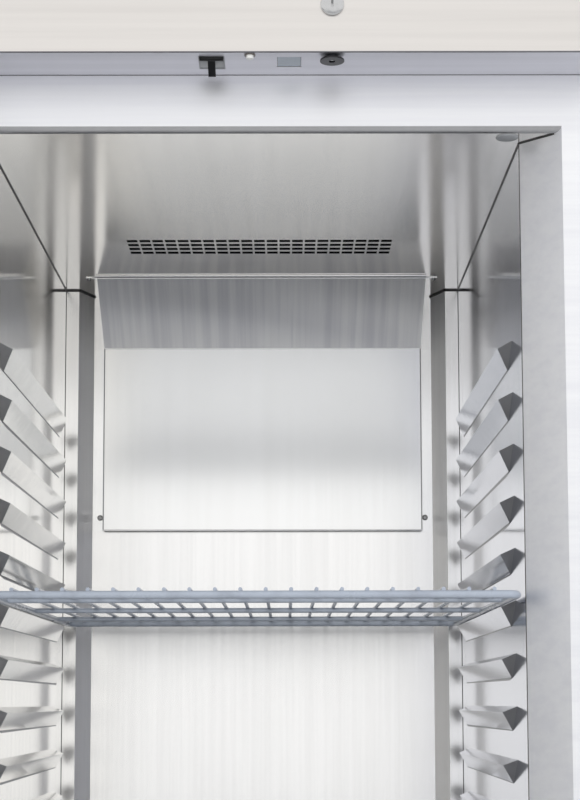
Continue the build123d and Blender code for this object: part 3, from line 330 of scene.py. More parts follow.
@dataclass(frozen=True)
class RolledSteel:
    """Stainless sheet: a fine rolled grain, wider streaks, gentle waves and wiped smudges."""

    name: str
    tint: Colour
    roughness: float
    grain: Grain = Grain.ALONG_Z
    grain_depth: float = 2.5e-7
    grain_gloss: float = 0.04
    wave_depth: float = 3.0e-4
    wave_size: float = 3.0
    streak: float = 0.05
    streaks_across: float = 70.0
    streaks_along: float = 1.6
    smudge: float = 0.05
    smudge_size: float = 7.0
    shade: float = 0.05
    metal: float = 1.0

    def material(self) -> bpy.types.Material:
        """Make the material."""
        paint = Paint(self.name)
        grain = paint.noise(self.grain.value, 1.0)
        repeats = self.grain.streaks(self.streaks_across, self.streaks_along)
        streaks = paint.noise(repeats, 3.0, 0.6, (3.1, 1.7, 5.3))
        wiped = paint.noise((self.smudge_size,) * 3, 4.0, 0.6, (9.0, 2.0, 4.0))
        waves = paint.noise((self.wave_size,) * 3, 1.0, 0.4, (0.4, 8.0, 2.5))
        rough = (
            self.roughness
            + (grain - 0.5) * self.grain_gloss
            + (streaks - 0.5) * self.streak
            + (wiped - 0.5) * self.smudge
        )
        dull = tuple(c * (1.0 - self.shade) for c in self.tint)
        bright = tuple(min(1.0, c * (1.0 + self.shade * 0.4)) for c in self.tint)
        rolled = paint.bump(grain, self.grain_depth)
        paint.set(
            Base_Color=paint.mix(streaks.over(0.3, 0.7), dull, bright),
            Metallic=self.metal,
            Roughness=rough,
            Normal=paint.bump(waves, self.wave_depth, rolled),
        )
        return paint.material


@dataclass(frozen=True)
class Galvanised:
    """Zinc-coated sheet with its flaky spangle."""

    name: str
    tint: Colour = (0.55, 0.56, 0.57)
    flake: float = 90.0

    def material(self) -> bpy.types.Material:
        """Make the material."""
        paint = Paint(self.name)
        cells = paint.cells(self.flake)
        split = paint.node("ShaderNodeSeparateColor", {}, {0: Wire(paint, cells.outputs["Color"])})
        flake = Wire(paint, split.outputs[0])
        cloud = paint.noise((5.0, 5.0, 5.0), 4.0)
        shades = tuple(c * 0.72 for c in self.tint)
        paint.set(
            Base_Color=paint.mix(flake * 0.6 + cloud * 0.4, shades, self.tint),
            Metallic=0.85,
            Roughness=0.32 + flake * 0.2 + (cloud - 0.5) * 0.1,
            Normal=paint.bump(flake, 8e-6),
        )
        return paint.material


@dataclass(frozen=True)
class Moulded:
    """Moulded plastic: a fine spark-eroded skin with slightly uneven colour and gloss."""

    name: str
    tint: Colour
    roughness: float
    skin: float = 4e-6
    coat: float = 0.0
    sheen: float = 0.5

    def material(self) -> bpy.types.Material:
        """Make the material."""
        paint = Paint(self.name)
        skin = paint.noise((2600.0,) * 3, 2.0)
        cloud = paint.noise((22.0,) * 3, 3.0, 0.55, (4.0, 1.0, 7.0))
        shades = tuple(c * 0.88 for c in self.tint)
        paint.set(
            Base_Color=paint.mix(cloud.over(0.3, 0.7), shades, self.tint),
            Roughness=self.roughness + (cloud - 0.5) * 0.12,
            Coat_Weight=self.coat,
            Specular_IOR_Level=self.sheen,
            Normal=paint.bump(skin, self.skin),
        )
        return paint.material


@dataclass(frozen=True)
class WireCoating:
    """Plastic-dipped wire: glossy, a little orange-peeled and greyer where it has been rubbed."""

    name: str
    tint: Colour
    rubbed: Colour

    def material(self) -> bpy.types.Material:
        """Make the material."""
        paint = Paint(self.name)
        peel = paint.noise((420.0,) * 3, 2.0)
        rub = paint.noise((30.0, 9.0, 30.0), 4.0, 0.65)
        paint.set(
            Base_Color=paint.mix(rub.over(0.45, 0.75), self.tint, self.rubbed),
            Roughness=0.3 + (rub - 0.5) * 0.25,
            Coat_Weight=0.35,
            Coat_Roughness=0.12,
            Normal=paint.bump(peel, 2.5e-5),
        )
        return paint.material


@dataclass(frozen=True)
class Enamel:
    """Sprayed paint over steel, with dust settled on what faces up."""

    name: str
    tint: Colour
    dust: Colour = (0.30, 0.29, 0.27)

    def material(self) -> bpy.types.Material:
        """Make the material."""
        paint = Paint(self.name)
        geometry = paint.node("ShaderNodeNewGeometry")
        normal = Wire(paint, geometry.outputs["Normal"])
        facing = paint.node("ShaderNodeSeparateXYZ", {}, {0: normal})
        patches = paint.noise((40.0,) * 3, 5.0, 0.7)
        dusty = Wire(paint, facing.outputs[2]).over(0.25, 1.0) * patches.over(0.25, 0.9) * 0.45
        paint.set(
            Base_Color=paint.mix(dusty, self.tint, self.dust),
            Roughness=0.28 + dusty * 0.6,
            Normal=paint.bump(paint.noise((500.0,) * 3, 2.0), 1.5e-5),
        )
        return paint.material


@dataclass(frozen=True)
class DrawnCopper:
    """Copper tube, tarnished in patches."""

    name: str
    bright: Colour = (0.80, 0.42, 0.26)
    tarnish: Colour = (0.35, 0.19, 0.12)

    def material(self) -> bpy.types.Material:
        """Make the material."""
        paint = Paint(self.name)
        patches = paint.noise((35.0,) * 3, 5.0, 0.65)
        paint.set(
            Base_Color=paint.mix(patches.over(0.4, 0.75), self.bright, self.tarnish),
            Metallic=1.0,
            Roughness=0.25 + patches * 0.25,
            Normal=paint.bump(patches, 2e-5),
        )
        return paint.material


@dataclass(frozen=True)
class Foam:
    """Cut face of rigid insulating foam, with its fine pores."""

    name: str
    tint: Colour = (0.78, 0.68, 0.42)
    # Black that paints shade in the air ways above the ceiling's grille.
    ways_shade: Colour = (0.012, 0.012, 0.013)
    pores: float = 700.0
    ways_half_width: float = 0.21
    ways_from: float = 0.0
    ways_to: float = 0.31
    ways_above: float = 1.6605
    ways_edge: float = 0.0005

    def material(self) -> bpy.types.Material:
        """Make the material: bare foam, painted black as shade in the air ways over the ceiling.
        """
        paint = Paint(self.name)
        depth = Wire(paint, paint.cells(self.pores).outputs["Distance"])
        across, along, up = (paint.coordinate(axis) for axis in range(3))
        ways = (
            (across + self.ways_half_width).over(0.0, self.ways_edge)
            * (self.ways_half_width - across).over(0.0, self.ways_edge)
            * (along - self.ways_from).over(0.0, self.ways_edge)
            * (self.ways_to - along).over(0.0, self.ways_edge)
            * (up - self.ways_above).over(0.0, self.ways_edge)
        )
        bare = paint.mix(depth, tuple(c * 0.7 for c in self.tint), self.tint)
        paint.set(
            Base_Color=paint.mix(ways, bare, self.ways_shade),
            Roughness=0.85 + depth * 0.1,
            Normal=paint.bump(depth, 2e-4),
        )
        return paint.material


@dataclass(frozen=True)
class Elastomer:
    """Rubber or silicone: matt, with a bloom that comes and goes."""

    name: str
    tint: Colour
    roughness: float = 0.55

    def material(self) -> bpy.types.Material:
        """Make the material."""
        paint = Paint(self.name)
        bloom = paint.noise((18.0,) * 3, 4.0, 0.6)
        bloomed = tuple(c * 0.8 + 0.08 for c in self.tint)
        paint.set(
            Base_Color=paint.mix(bloom.over(0.35, 0.8) * 0.5, self.tint, bloomed),
            Roughness=self.roughness + (bloom - 0.5) * 0.2,
            Normal=paint.bump(paint.noise((900.0,) * 3, 2.0), 1e-5),
        )
        return paint.material


class Finishes:
    """Every finish of the object, each made once."""

    def __init__(self) -> None:
        """Make all materials."""
        self._make_cold_room()
        self._make_outside()
        self._make_mouldings()
        self._make_machinery()

    def _make_cold_room(self) -> None:
        """Make the finishes of the cold room's sheets, with darker copies that paint shade on the
        right wall, the folds, the creases and the runners' ends.
        """
        # The walls are one steel: a warm bright copy on the left and a darker cool copy on the
        # right, as painted light and shade.
        self.lit_left_wall = RolledSteel(
            "lit_left_wall_steel",
            (0.92, 0.905, 0.87),
            0.10,
            wave_depth=3e-5,
            streak=0.03,
            smudge=0.03,
        ).material()
        self.shaded_right_wall = RolledSteel(
            "shaded_right_wall_steel",
            (0.60, 0.615, 0.685),
            0.10,
            wave_depth=3e-5,
            streak=0.03,
            smudge=0.03,
        ).material()
        self.back = RolledSteel(
            "bright_back_steel", (0.97, 0.965, 0.955), 0.20, wave_depth=5e-5, smudge=0.03
        ).material()
        self.recess = RolledSteel(
            "recess_steel", (0.97, 0.965, 0.965), 0.36, wave_depth=5e-5, smudge=0.03, metal=0.45
        ).material()
        self.ceiling = RolledSteel(
            "bright_ceiling_steel",
            (0.97, 0.95, 0.92),
            0.14,
            Grain.ALONG_Y,
            wave_depth=1e-5,
            streak=0.03,
            smudge=0.01,
            shade=0.03,
        ).material()
        self.floor = RolledSteel(
            "bright_floor_steel", (0.92, 0.91, 0.90), 0.22, Grain.ALONG_Y
        ).material()
        self.cover = RolledSteel(
            "duct_cover_steel",
            (0.995, 0.995, 0.985),
            0.22,
            wave_depth=0.0,
            streak=0.02,
            smudge=0.03,
            shade=0.02,
        ).material()
        self.slope = RolledSteel(
            "duct_slope_steel",
            (0.96, 0.96, 0.99),
            0.34,
            Grain.DOWN_SLOPE,
            wave_depth=0.0,
            streak=0.10,
            smudge=0.0,
            shade=0.16,
            metal=0.35,
        ).material()
        # Darker copy of the sheet steel that paints shade on the duct cover's side folds and the
        # header's rolled edge.
        self.fold = RolledSteel(
            "fold_shade_steel", (0.42, 0.42, 0.43), 0.30, wave_depth=0.0, metal=0.8
        ).material()
        self.hem = RolledSteel(
            "hemmed_steel", (0.97, 0.97, 0.97), 0.20, Grain.ALONG_X, wave_depth=0.0
        ).material()
        # Darker, partly matt copy of the wall steel: painted shade on the runners' pressed ends.
        self.runner_end_shade = RolledSteel(
            "runner_end_shade_steel", (0.50, 0.50, 0.51), 0.32, wave_depth=0.0, metal=0.6
        ).material()
        # Dark steel that paints shade: in the creases under the runners, in the gap of the duct
        # cover's hem and along the fascia's lower bend.
        self.crease_shade = RolledSteel(
            "crease_shade_steel", (0.20, 0.20, 0.215), 0.30, Grain.ALONG_Y
        ).material()

    def _make_outside(self) -> None:
        """Make the finishes of the frame, the casing, the fascia with its painted-shade underside
        and the small steel parts.
        """
        self.frame = RolledSteel(
            "frame_steel", (0.955, 0.96, 0.995), 0.40, Grain.ALONG_X, wave_depth=5e-5
        ).material()
        self.casing = RolledSteel(
            "casing_steel", (0.66, 0.66, 0.67), 0.28, wave_depth=1.5e-4, streak=0.04, shade=0.03
        ).material()
        self.fascia = RolledSteel(
            "fascia_steel", (0.78, 0.75, 0.72), 0.30, Grain.ALONG_X, wave_depth=5e-5
        ).material()
        # Darker, bluer copy of the fascia steel: painted shade on the panel's underside.
        self.under = RolledSteel(
            "fascia_underside_shade", (0.72, 0.72, 0.77), 0.46, Grain.ALONG_X, wave_depth=5e-5
        ).material()
        self.fittings = RolledSteel(
            "fitting_steel", (0.60, 0.60, 0.60), 0.24, Grain.ALONG_Y
        ).material()
        # Darker steel for the cover screws, partly painted shade round their heads.
        self.screws = RolledSteel(
            "shaded_screw_steel", (0.36, 0.36, 0.36), 0.26, Grain.ALONG_Y
        ).material()
        self.dark_fittings = RolledSteel(
            "dark_fitting_steel", (0.05, 0.05, 0.054), 0.30, Grain.ALONG_Y
        ).material()

    def _make_mouldings(self) -> None:
        """Make the finishes of plastic, dipped wire and rubber."""
        # Black plastic of the evaporator hood; the same black also paints shade on the walls of
        # the grille's slots.
        self.black_hood_and_slot_shade = Moulded("hood_plastic_and_slot_shade", (0.035, 0.036, 0.038), 0.6).material()
        self.grey = Moulded("grey_plastic", (0.42, 0.43, 0.45), 0.5).material()
        self.black = Moulded("black_plastic", (0.008, 0.008, 0.009), 0.40, sheen=0.3).material()
        self.white = Moulded("white_plastic", (0.82, 0.82, 0.80), 0.28, coat=0.3).material()
        self.collar = Moulded("collar_plastic", (0.23, 0.205, 0.19), 0.40).material()
        self.lens = Moulded("lamp_lens", (0.30, 0.36, 0.43), 0.18, skin=1e-5, coat=0.5).material()
        self.display = Moulded(
            "display_window", (0.006, 0.008, 0.010), 0.06, skin=1e-7, coat=0.6
        ).material()
        self.coating = WireCoating(
            "dipped_wire", (0.40, 0.445, 0.52), (0.33, 0.365, 0.43)
        ).material()
        self.gasket = Elastomer("door_gasket", (0.36, 0.37, 0.39)).material()
        self.sealant = Elastomer("joint_sealant", (0.035, 0.033, 0.033), 0.35).material()

    def _make_machinery(self) -> None:
        """Make the finishes of the cooling unit and the hidden sheets."""
        self.fins = RolledSteel("fin_aluminium", (0.76, 0.77, 0.78), 0.30).material()
        self.galvanised = Galvanised("galvanised_sheet").material()
        self.foam = Foam("insulating_foam").material()
        self.enamel = Enamel("black_enamel", (0.012, 0.012, 0.012)).material()
        self.motor = Enamel("motor_enamel", (0.16, 0.165, 0.17)).material()
        self.copper = DrawnCopper("copper_tube").material()


# Shaping


class Form:
    """The mesh of one new piece while it is shaped."""

    def __init__(self, name: str) -> None:
        """Start an empty mesh.

        Args:
            name: the piece's name.
        """
        self.name = name
        self.mesh = bmesh.new()

    def block(self, low: Point, high: Point) -> list[bmesh.types.BMVert]:
        """Add a straight block.

        Args:
            low: lowest corner.
            high: highest corner.

        Returns:
            Its vertices.
        """
        low_v, high_v = Vector(low), Vector(high)
        size = Matrix.Diagonal((*(high_v - low_v), 1.0))
        place = Matrix.Translation((low_v + high_v) / 2)
        return bmesh.ops.create_cube(self.mesh, size=1.0, matrix=place @ size)["verts"]

    def rod(
        self,
        start: Point,
        end: Point,
        radius: float,
        end_radius: float | None = None,
        segments: int = 28,
    ) -> list[bmesh.types.BMVert]:
        """Add a round rod or a cone between two points.

        Args:
            start: centre of the first end.
            end: centre of the second end.
            radius: radius at the first end.
            end_radius: radius at the second end, if it differs.
            segments: number of sides.

        Returns:
            Its vertices.
        """
        first, last = Vector(start), Vector(end)
        way = last - first
        turn = way.to_track_quat("Z", "Y").to_matrix().to_4x4()
        return bmesh.ops.create_cone(
            self.mesh,
            cap_ends=True,
            cap_tris=False,
            segments=segments,
            radius1=radius,
            radius2=radius if end_radius is None else end_radius,
            depth=way.length,
            matrix=Matrix.Translation((first + last) / 2) @ turn,
        )["verts"]

    def crossbar(
        self, reach: float, depth: float, level: float, radius: float, segments: int
    ) -> None:
        """Add a thin level rod from one side of the object to the other.

        Args:
            reach: how far it reaches to each side.
            depth: its Y.
            level: its Z.
            radius: its radius.
            segments: number of sides.
        """
        self.rod((-reach, depth, level), (reach, depth, level), radius, segments=segments)

    def hoop(
        self,
        centre: Point,
        axis: Point,
        arm: Point,
        radius: float,
        angle: float = math.tau,
        steps: int = 48,
        sides: int = 10,
    ) -> None:
        """Add a round bar bent round an axis, by spinning its section.

        Args:
            centre: a point on the axis.
            axis: the axis' direction.
            arm: way from the centre to the bar's middle.
            radius: the bar's radius.
            angle: how far it is spun.
            steps: number of steps of the spin.
            sides: number of sides of the bar.
        """
        run = Vector(axis).cross(Vector(arm)).normalized()
        turn = run.to_track_quat("Z", "Y").to_matrix().to_4x4()
        matrix = Matrix.Translation(Vector(centre) + Vector(arm)) @ turn
        whole = abs(angle - math.tau) < 1e-6
        section = bmesh.ops.create_circle(
            self.mesh, cap_ends=not whole, segments=sides, radius=radius, matrix=matrix
        )["verts"]
        edges = list(dict.fromkeys(edge for vert in section for edge in vert.link_edges))
        faces = list(dict.fromkeys(face for vert in section for face in vert.link_faces))
        bmesh.ops.spin(
            self.mesh,
            geom=section + edges + faces,
            cent=centre,
            axis=axis,
            angle=angle,
            steps=steps,
            use_merge=whole,
        )

    def move(self, verts: Iterable[bmesh.types.BMVert], matrix: Matrix) -> None:
        """Transform some vertices."""
        bmesh.ops.transform(self.mesh, matrix=matrix, verts=list(verts))

    def join(self, other: bmesh.types.BMesh) -> None:
        """Add another mesh to this one.

        Args:
            other: the mesh that is added; it is used up.
        """
        data = bpy.data.meshes.new("joined")
        other.to_mesh(data)
        other.free()
        self.mesh.from_mesh(data)
        bpy.data.meshes.remove(data)

    def join_planes(self) -> None:
        """Join the faces that lie in one plane."""
        bmesh.ops.dissolve_limit(
            self.mesh,
            angle_limit=math.radians(SAME_PLANE),
            verts=self.mesh.verts,
            edges=self.mesh.edges,
        )

    def bevel(
        self,
        edges: Sequence[bmesh.types.BMEdge],
        width: float,
        segments: int,
        material: int = -1,
    ) -> None:
        """Round some edges.

        Args:
            edges: the edges.
            width: width of the rounding.
            segments: number of its steps.
            material: place of its material, or -1 for that of the faces beside it.
        """
        bmesh.ops.bevel(
            self.mesh,
            geom=edges,
            offset=width,
            offset_type="OFFSET",
            segments=segments,
            profile=0.5,
            affect="EDGES",
            clamp_overlap=True,
            material=material,
        )

    def soften(self, width: float, segments: int = 2, angle: float = 30.0) -> None:
        """Round the sharp edges.

        Args:
            width: width of the rounding.
            segments: number of its steps.
            angle: the least angle in degrees that counts as sharp.
        """
        limit = math.radians(angle)
        sharp = [
            edge
            for edge in self.mesh.edges
            if len(edge.link_faces) == 2 and edge.calc_face_angle(0.0) > limit
        ]
        self.bevel(sharp, width, segments)

    def carve(self, tool: Form) -> None:
        """Cut another form out of this one.

        Args:
            tool: the form that is taken away; it is used up.
        """
        work, cutter = self._loose("work"), tool._loose("cutter")
        cut = work.modifiers.new("cut", "BOOLEAN")
        cut.operation = "DIFFERENCE"
        cut.solver = "EXACT"
        cut.object = cutter
        graph = bpy.context.evaluated_depsgraph_get()
        result = bpy.data.meshes.new_from_object(work.evaluated_get(graph))
        self.mesh = bmesh.new()
        self.mesh.from_mesh(result)
        for thing in (work, cutter):
            bpy.data.objects.remove(thing)
        bpy.data.meshes.remove(result)

    def _loose(self, name: str) -> bpy.types.Object:
        """Turn the mesh into a loose object for a modifier."""
        bmesh.ops.recalc_face_normals(self.mesh, faces=self.mesh.faces)
        data = bpy.data.meshes.new(name)
        self.mesh.to_mesh(data)
        self.mesh.free()
        loose = bpy.data.objects.new(name, data)
        bpy.context.scene.collection.objects.link(loose)
        bpy.context.view_layer.update()
        return loose

    def piece(
        self,
        body: str,
        slot: str,
        finish: bpy.types.Material,
        stands_for: Sequence[str] = (),
        recalculate: bool = True,
        smooth: float = 40.0,
        softened: bool = False,
    ) -> bpy.types.Object:
        """Finish the mesh as a piece of the object.

        Args:
            body: the body that it rides on.
            slot: the record's material slot; not used.
            finish: its material.
            stands_for: nodes that it replaces.
            recalculate: whether the faces' directions are worked out again.
            smooth: angle in degrees up to which edges are shaded smooth.
            softened: whether its flat faces should stay flat beside their softened edges.

        Returns:
            The piece.
        """
        if recalculate:
            bmesh.ops.recalc_face_normals(self.mesh, faces=self.mesh.faces)
        data = bpy.data.meshes.new(self.name)
        self.mesh.to_mesh(data)
        self.mesh.free()
        data.shade_smooth()
        data.set_sharp_from_angle(angle=math.radians(smooth))
        data.materials.append(finish)
        made = bpy.data.objects.new(self.name, data)
        bpy.context.scene.collection.objects.link(made)
        if softened:
            made.modifiers.new("flat_faces", "WEIGHTED_NORMAL").keep_sharp = True
        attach(made, body)
        if stands_for:
            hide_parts(*stands_for)
        LOG.info("%s: %d faces on %s", self.name, len(data.polygons), body)
        return made


class Model:
    """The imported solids, and the pieces that are drawn from them."""

    def __init__(self, frame: dict[str, Any]) -> None:
        """Keep the frame.
        """
        self.nodes: dict[str, bpy.types.Object] = frame["nodes"]
        record = frame["record"]
        self.body_of = {
            node: body for body, nodes in record["behaviour"]["bodies"].items() for node in nodes
        }
        self.slot_of = {part["node"]: part["material_slot"] for part in record["subparts"]}

    def paint(self, node: str, finish: bpy.types.Material) -> None:
        """Give a node that stays its material."""
        solid = self.nodes[node]
        solid.data.materials.clear()
        solid.data.materials.append(finish)

    def form(self, node: str, name: str) -> Form:
        """Copy a node's mesh with its corners joined.

        Args:
            node: the node.
            name: name of the new piece.

        Returns:
            The form.
        """
        form = Form(name)
        form.mesh.from_mesh(self.nodes[node].data)
        bmesh.ops.remove_doubles(form.mesh, verts=form.mesh.verts, dist=SAME_CORNER)
        return form

    def dress(
        self,
        node: str,
        finish: bpy.types.Material,
        edge: float = 0.0,
        segments: int = 2,
        smooth: float = SMOOTH_ANGLE,
    ) -> bpy.types.Object:
        """Draw a node with joined corners, smooth rounds and softened edges.

        Args:
            node: the node that the piece stands for.
            finish: its material.
            edge: width of the softened edges.
            segments: steps of that softening.
            smooth: angle in degrees up to which edges are shaded smooth.

        Returns:
            The piece.
        """
        form = self.form(node, f"{node}_shown")
        form.join_planes()
        if edge:
            form.soften(edge, segments)
        return form.piece(
            self.body_of[node],
            self.slot_of[node],
            finish,
            [node],
            recalculate=False,
            smooth=smooth,
            softened=edge > 0,
        )


def refinish(
    piece: bpy.types.Object,
    finish: bpy.types.Material,
    chosen: Callable[[bpy.types.MeshPolygon], bool],
) -> None:
    """Give some faces of a piece another finish.

    Args:
        piece: the piece.
        finish: the finish.
        chosen: tells whether a face takes it.
    """
    piece.data.materials.append(finish)
    index = len(piece.data.materials) - 1
    for face in piece.data.polygons:
        if chosen(face):
            face.material_index = index


# Sub-assemblies


@dataclass(frozen=True)
class Runners:
    """The ladder of runners that is pressed into each wall."""

    count: int = 22
    pitch: float = 0.055
    first_crest: float = 1.4644
    drop: float = 0.020
    rise: float = 0.006
    ends: tuple[float, float] = (-0.247, 0.217)
    end_slopes: tuple[float, float] = (1.5, 1.2)
    end_holds: tuple[float, float] = (0.0143, 0.010)
    end_reach: float = 0.007
    end_margin: float = 0.002
    crease_shade_width: float = 0.0016
    least_length: float = 0.1

    def crests(self) -> list[float]:
        """Height of every runner's crest, from the top."""
        return [self.first_crest - row * self.pitch for row in range(self.count)]

    def lean(self, form: Form, end: float, slope: float, hold: float) -> None:
        """Lean one end of every runner, as it is pressed on the real sheet.

        Args:
            form: the wall.
            end: Y of the runners' ends.
            slope: how far an end leans to the front for each metre that it rises.
            hold: how far under the crest an end keeps its place.
        """
        lowest, highest = -self.drop - self.end_margin, self.rise + self.end_margin
        for crest in self.crests():
            verts = [
                vert
                for vert in form.mesh.verts
                if abs(vert.co.y - end) < self.end_reach and lowest < vert.co.z - crest < highest
            ]
            shear = Matrix.Identity(4)
            shear[1][2] = -slope
            shear[1][3] = slope * (crest - hold)
            form.move(verts, shear)

    def low_edges(self, form: Form, plane: float) -> list[bmesh.types.BMEdge]:
        """Find the edges in which the runners' lower faces meet the flat sheet.

        Args:
            form: the wall.
            plane: distance of the sheet's face from the object's middle.

        Returns:
            The edges.
        """
        levels = [crest - self.drop for crest in self.crests()]
        return [
            edge
            for edge in form.mesh.edges
            if all(abs(abs(vert.co.x) - plane) < 1e-4 for vert in edge.verts)
            and abs(edge.verts[0].co.y - edge.verts[1].co.y) > self.least_length
            and any(all(abs(v.co.z - level) < 1e-3 for v in edge.verts) for level in levels)
        ]


@dataclass(frozen=True)
class DuctCover:
    """The air duct's cover: a streaky slope, the hem along its lip and the rounds of its folds,
    with painted shade in the hem's gap and on the side folds.
    """

    half_width: float = 0.2215
    face: float = 0.321
    lip: float = 0.216
    fold: float = 1.5835
    low: float = 1.327
    ceiling: float = 1.660
    hem_depth: float = 0.012
    hem_drops: tuple[float, float] = (0.0008, 0.0001)
    hem_overlap: float = 0.0005
    hem_round: float = 0.0011
    lip_round: float = 0.0012
    lip_inset: float = 0.0002
    low_round: float = 0.0012
    low_insets: tuple[float, float] = (0.0006, 0.0008)
    fold_round: float = 0.0010
    side_round: float = 0.0009
    inset: float = 0.0004
    sides: int = 14

    def build(self, model: Model, finish: Finishes) -> None:
        """Dress the cover and draw its folds.

        Args:
            model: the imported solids.
            finish: the finishes.
        """
        cover = model.dress("air_duct_cover", finish.cover)
        refinish(cover, finish.slope, lambda face: face.normal.y < -0.3 and face.normal.z < -0.6)
        self._hem(finish)
        self._level_rounds(finish)
        self._upright_rounds(finish)

    def _hem(self, finish: Finishes) -> None:
        """Lay a dark block in the gap of the hem under the ceiling, as painted shade."""
        form = Form("duct_hem")
        low, high = (self.ceiling - drop for drop in self.hem_drops)
        form.block(
            (-self.half_width, self.lip - self.hem_depth, low),
            (self.half_width, self.lip + self.hem_overlap, high),
        )
        form.piece("cabinet", "liner_steel", finish.crease_shade)

    def _level_rounds(self, finish: Finishes) -> None:
        """Draw the rounds of the hem, the lip, the lower edge and the slope's fold."""
        form = Form("duct_hem_edges")
        for depth, level, radius in (
            (self.lip - self.hem_depth, self.ceiling - self.hem_round, self.hem_round),
            (self.lip + self.lip_inset, self.ceiling - self.lip_round, self.lip_round),
            (self.face + self.low_insets[0], self.low + self.low_insets[1], self.low_round),
            (self.face + self.inset, self.fold, self.fold_round),
        ):
            form.crossbar(self.half_width, depth, level, radius, self.sides)
        form.piece("cabinet", "liner_steel", finish.hem)

    def _upright_rounds(self, finish: Finishes) -> None:
        """Draw the rounds between the cover's face and its side flanges, in darker steel as
        painted shade.
        """
        form = Form("duct_folds")
        reach, depth = self.half_width - self.inset, self.face + self.inset
        for across in (-reach, reach):
            form.rod(
                (across, depth, self.low),
                (across, depth, self.fold),
                self.side_round,
                segments=self.sides,
            )
        form.piece("cabinet", "liner_steel", finish.fold)


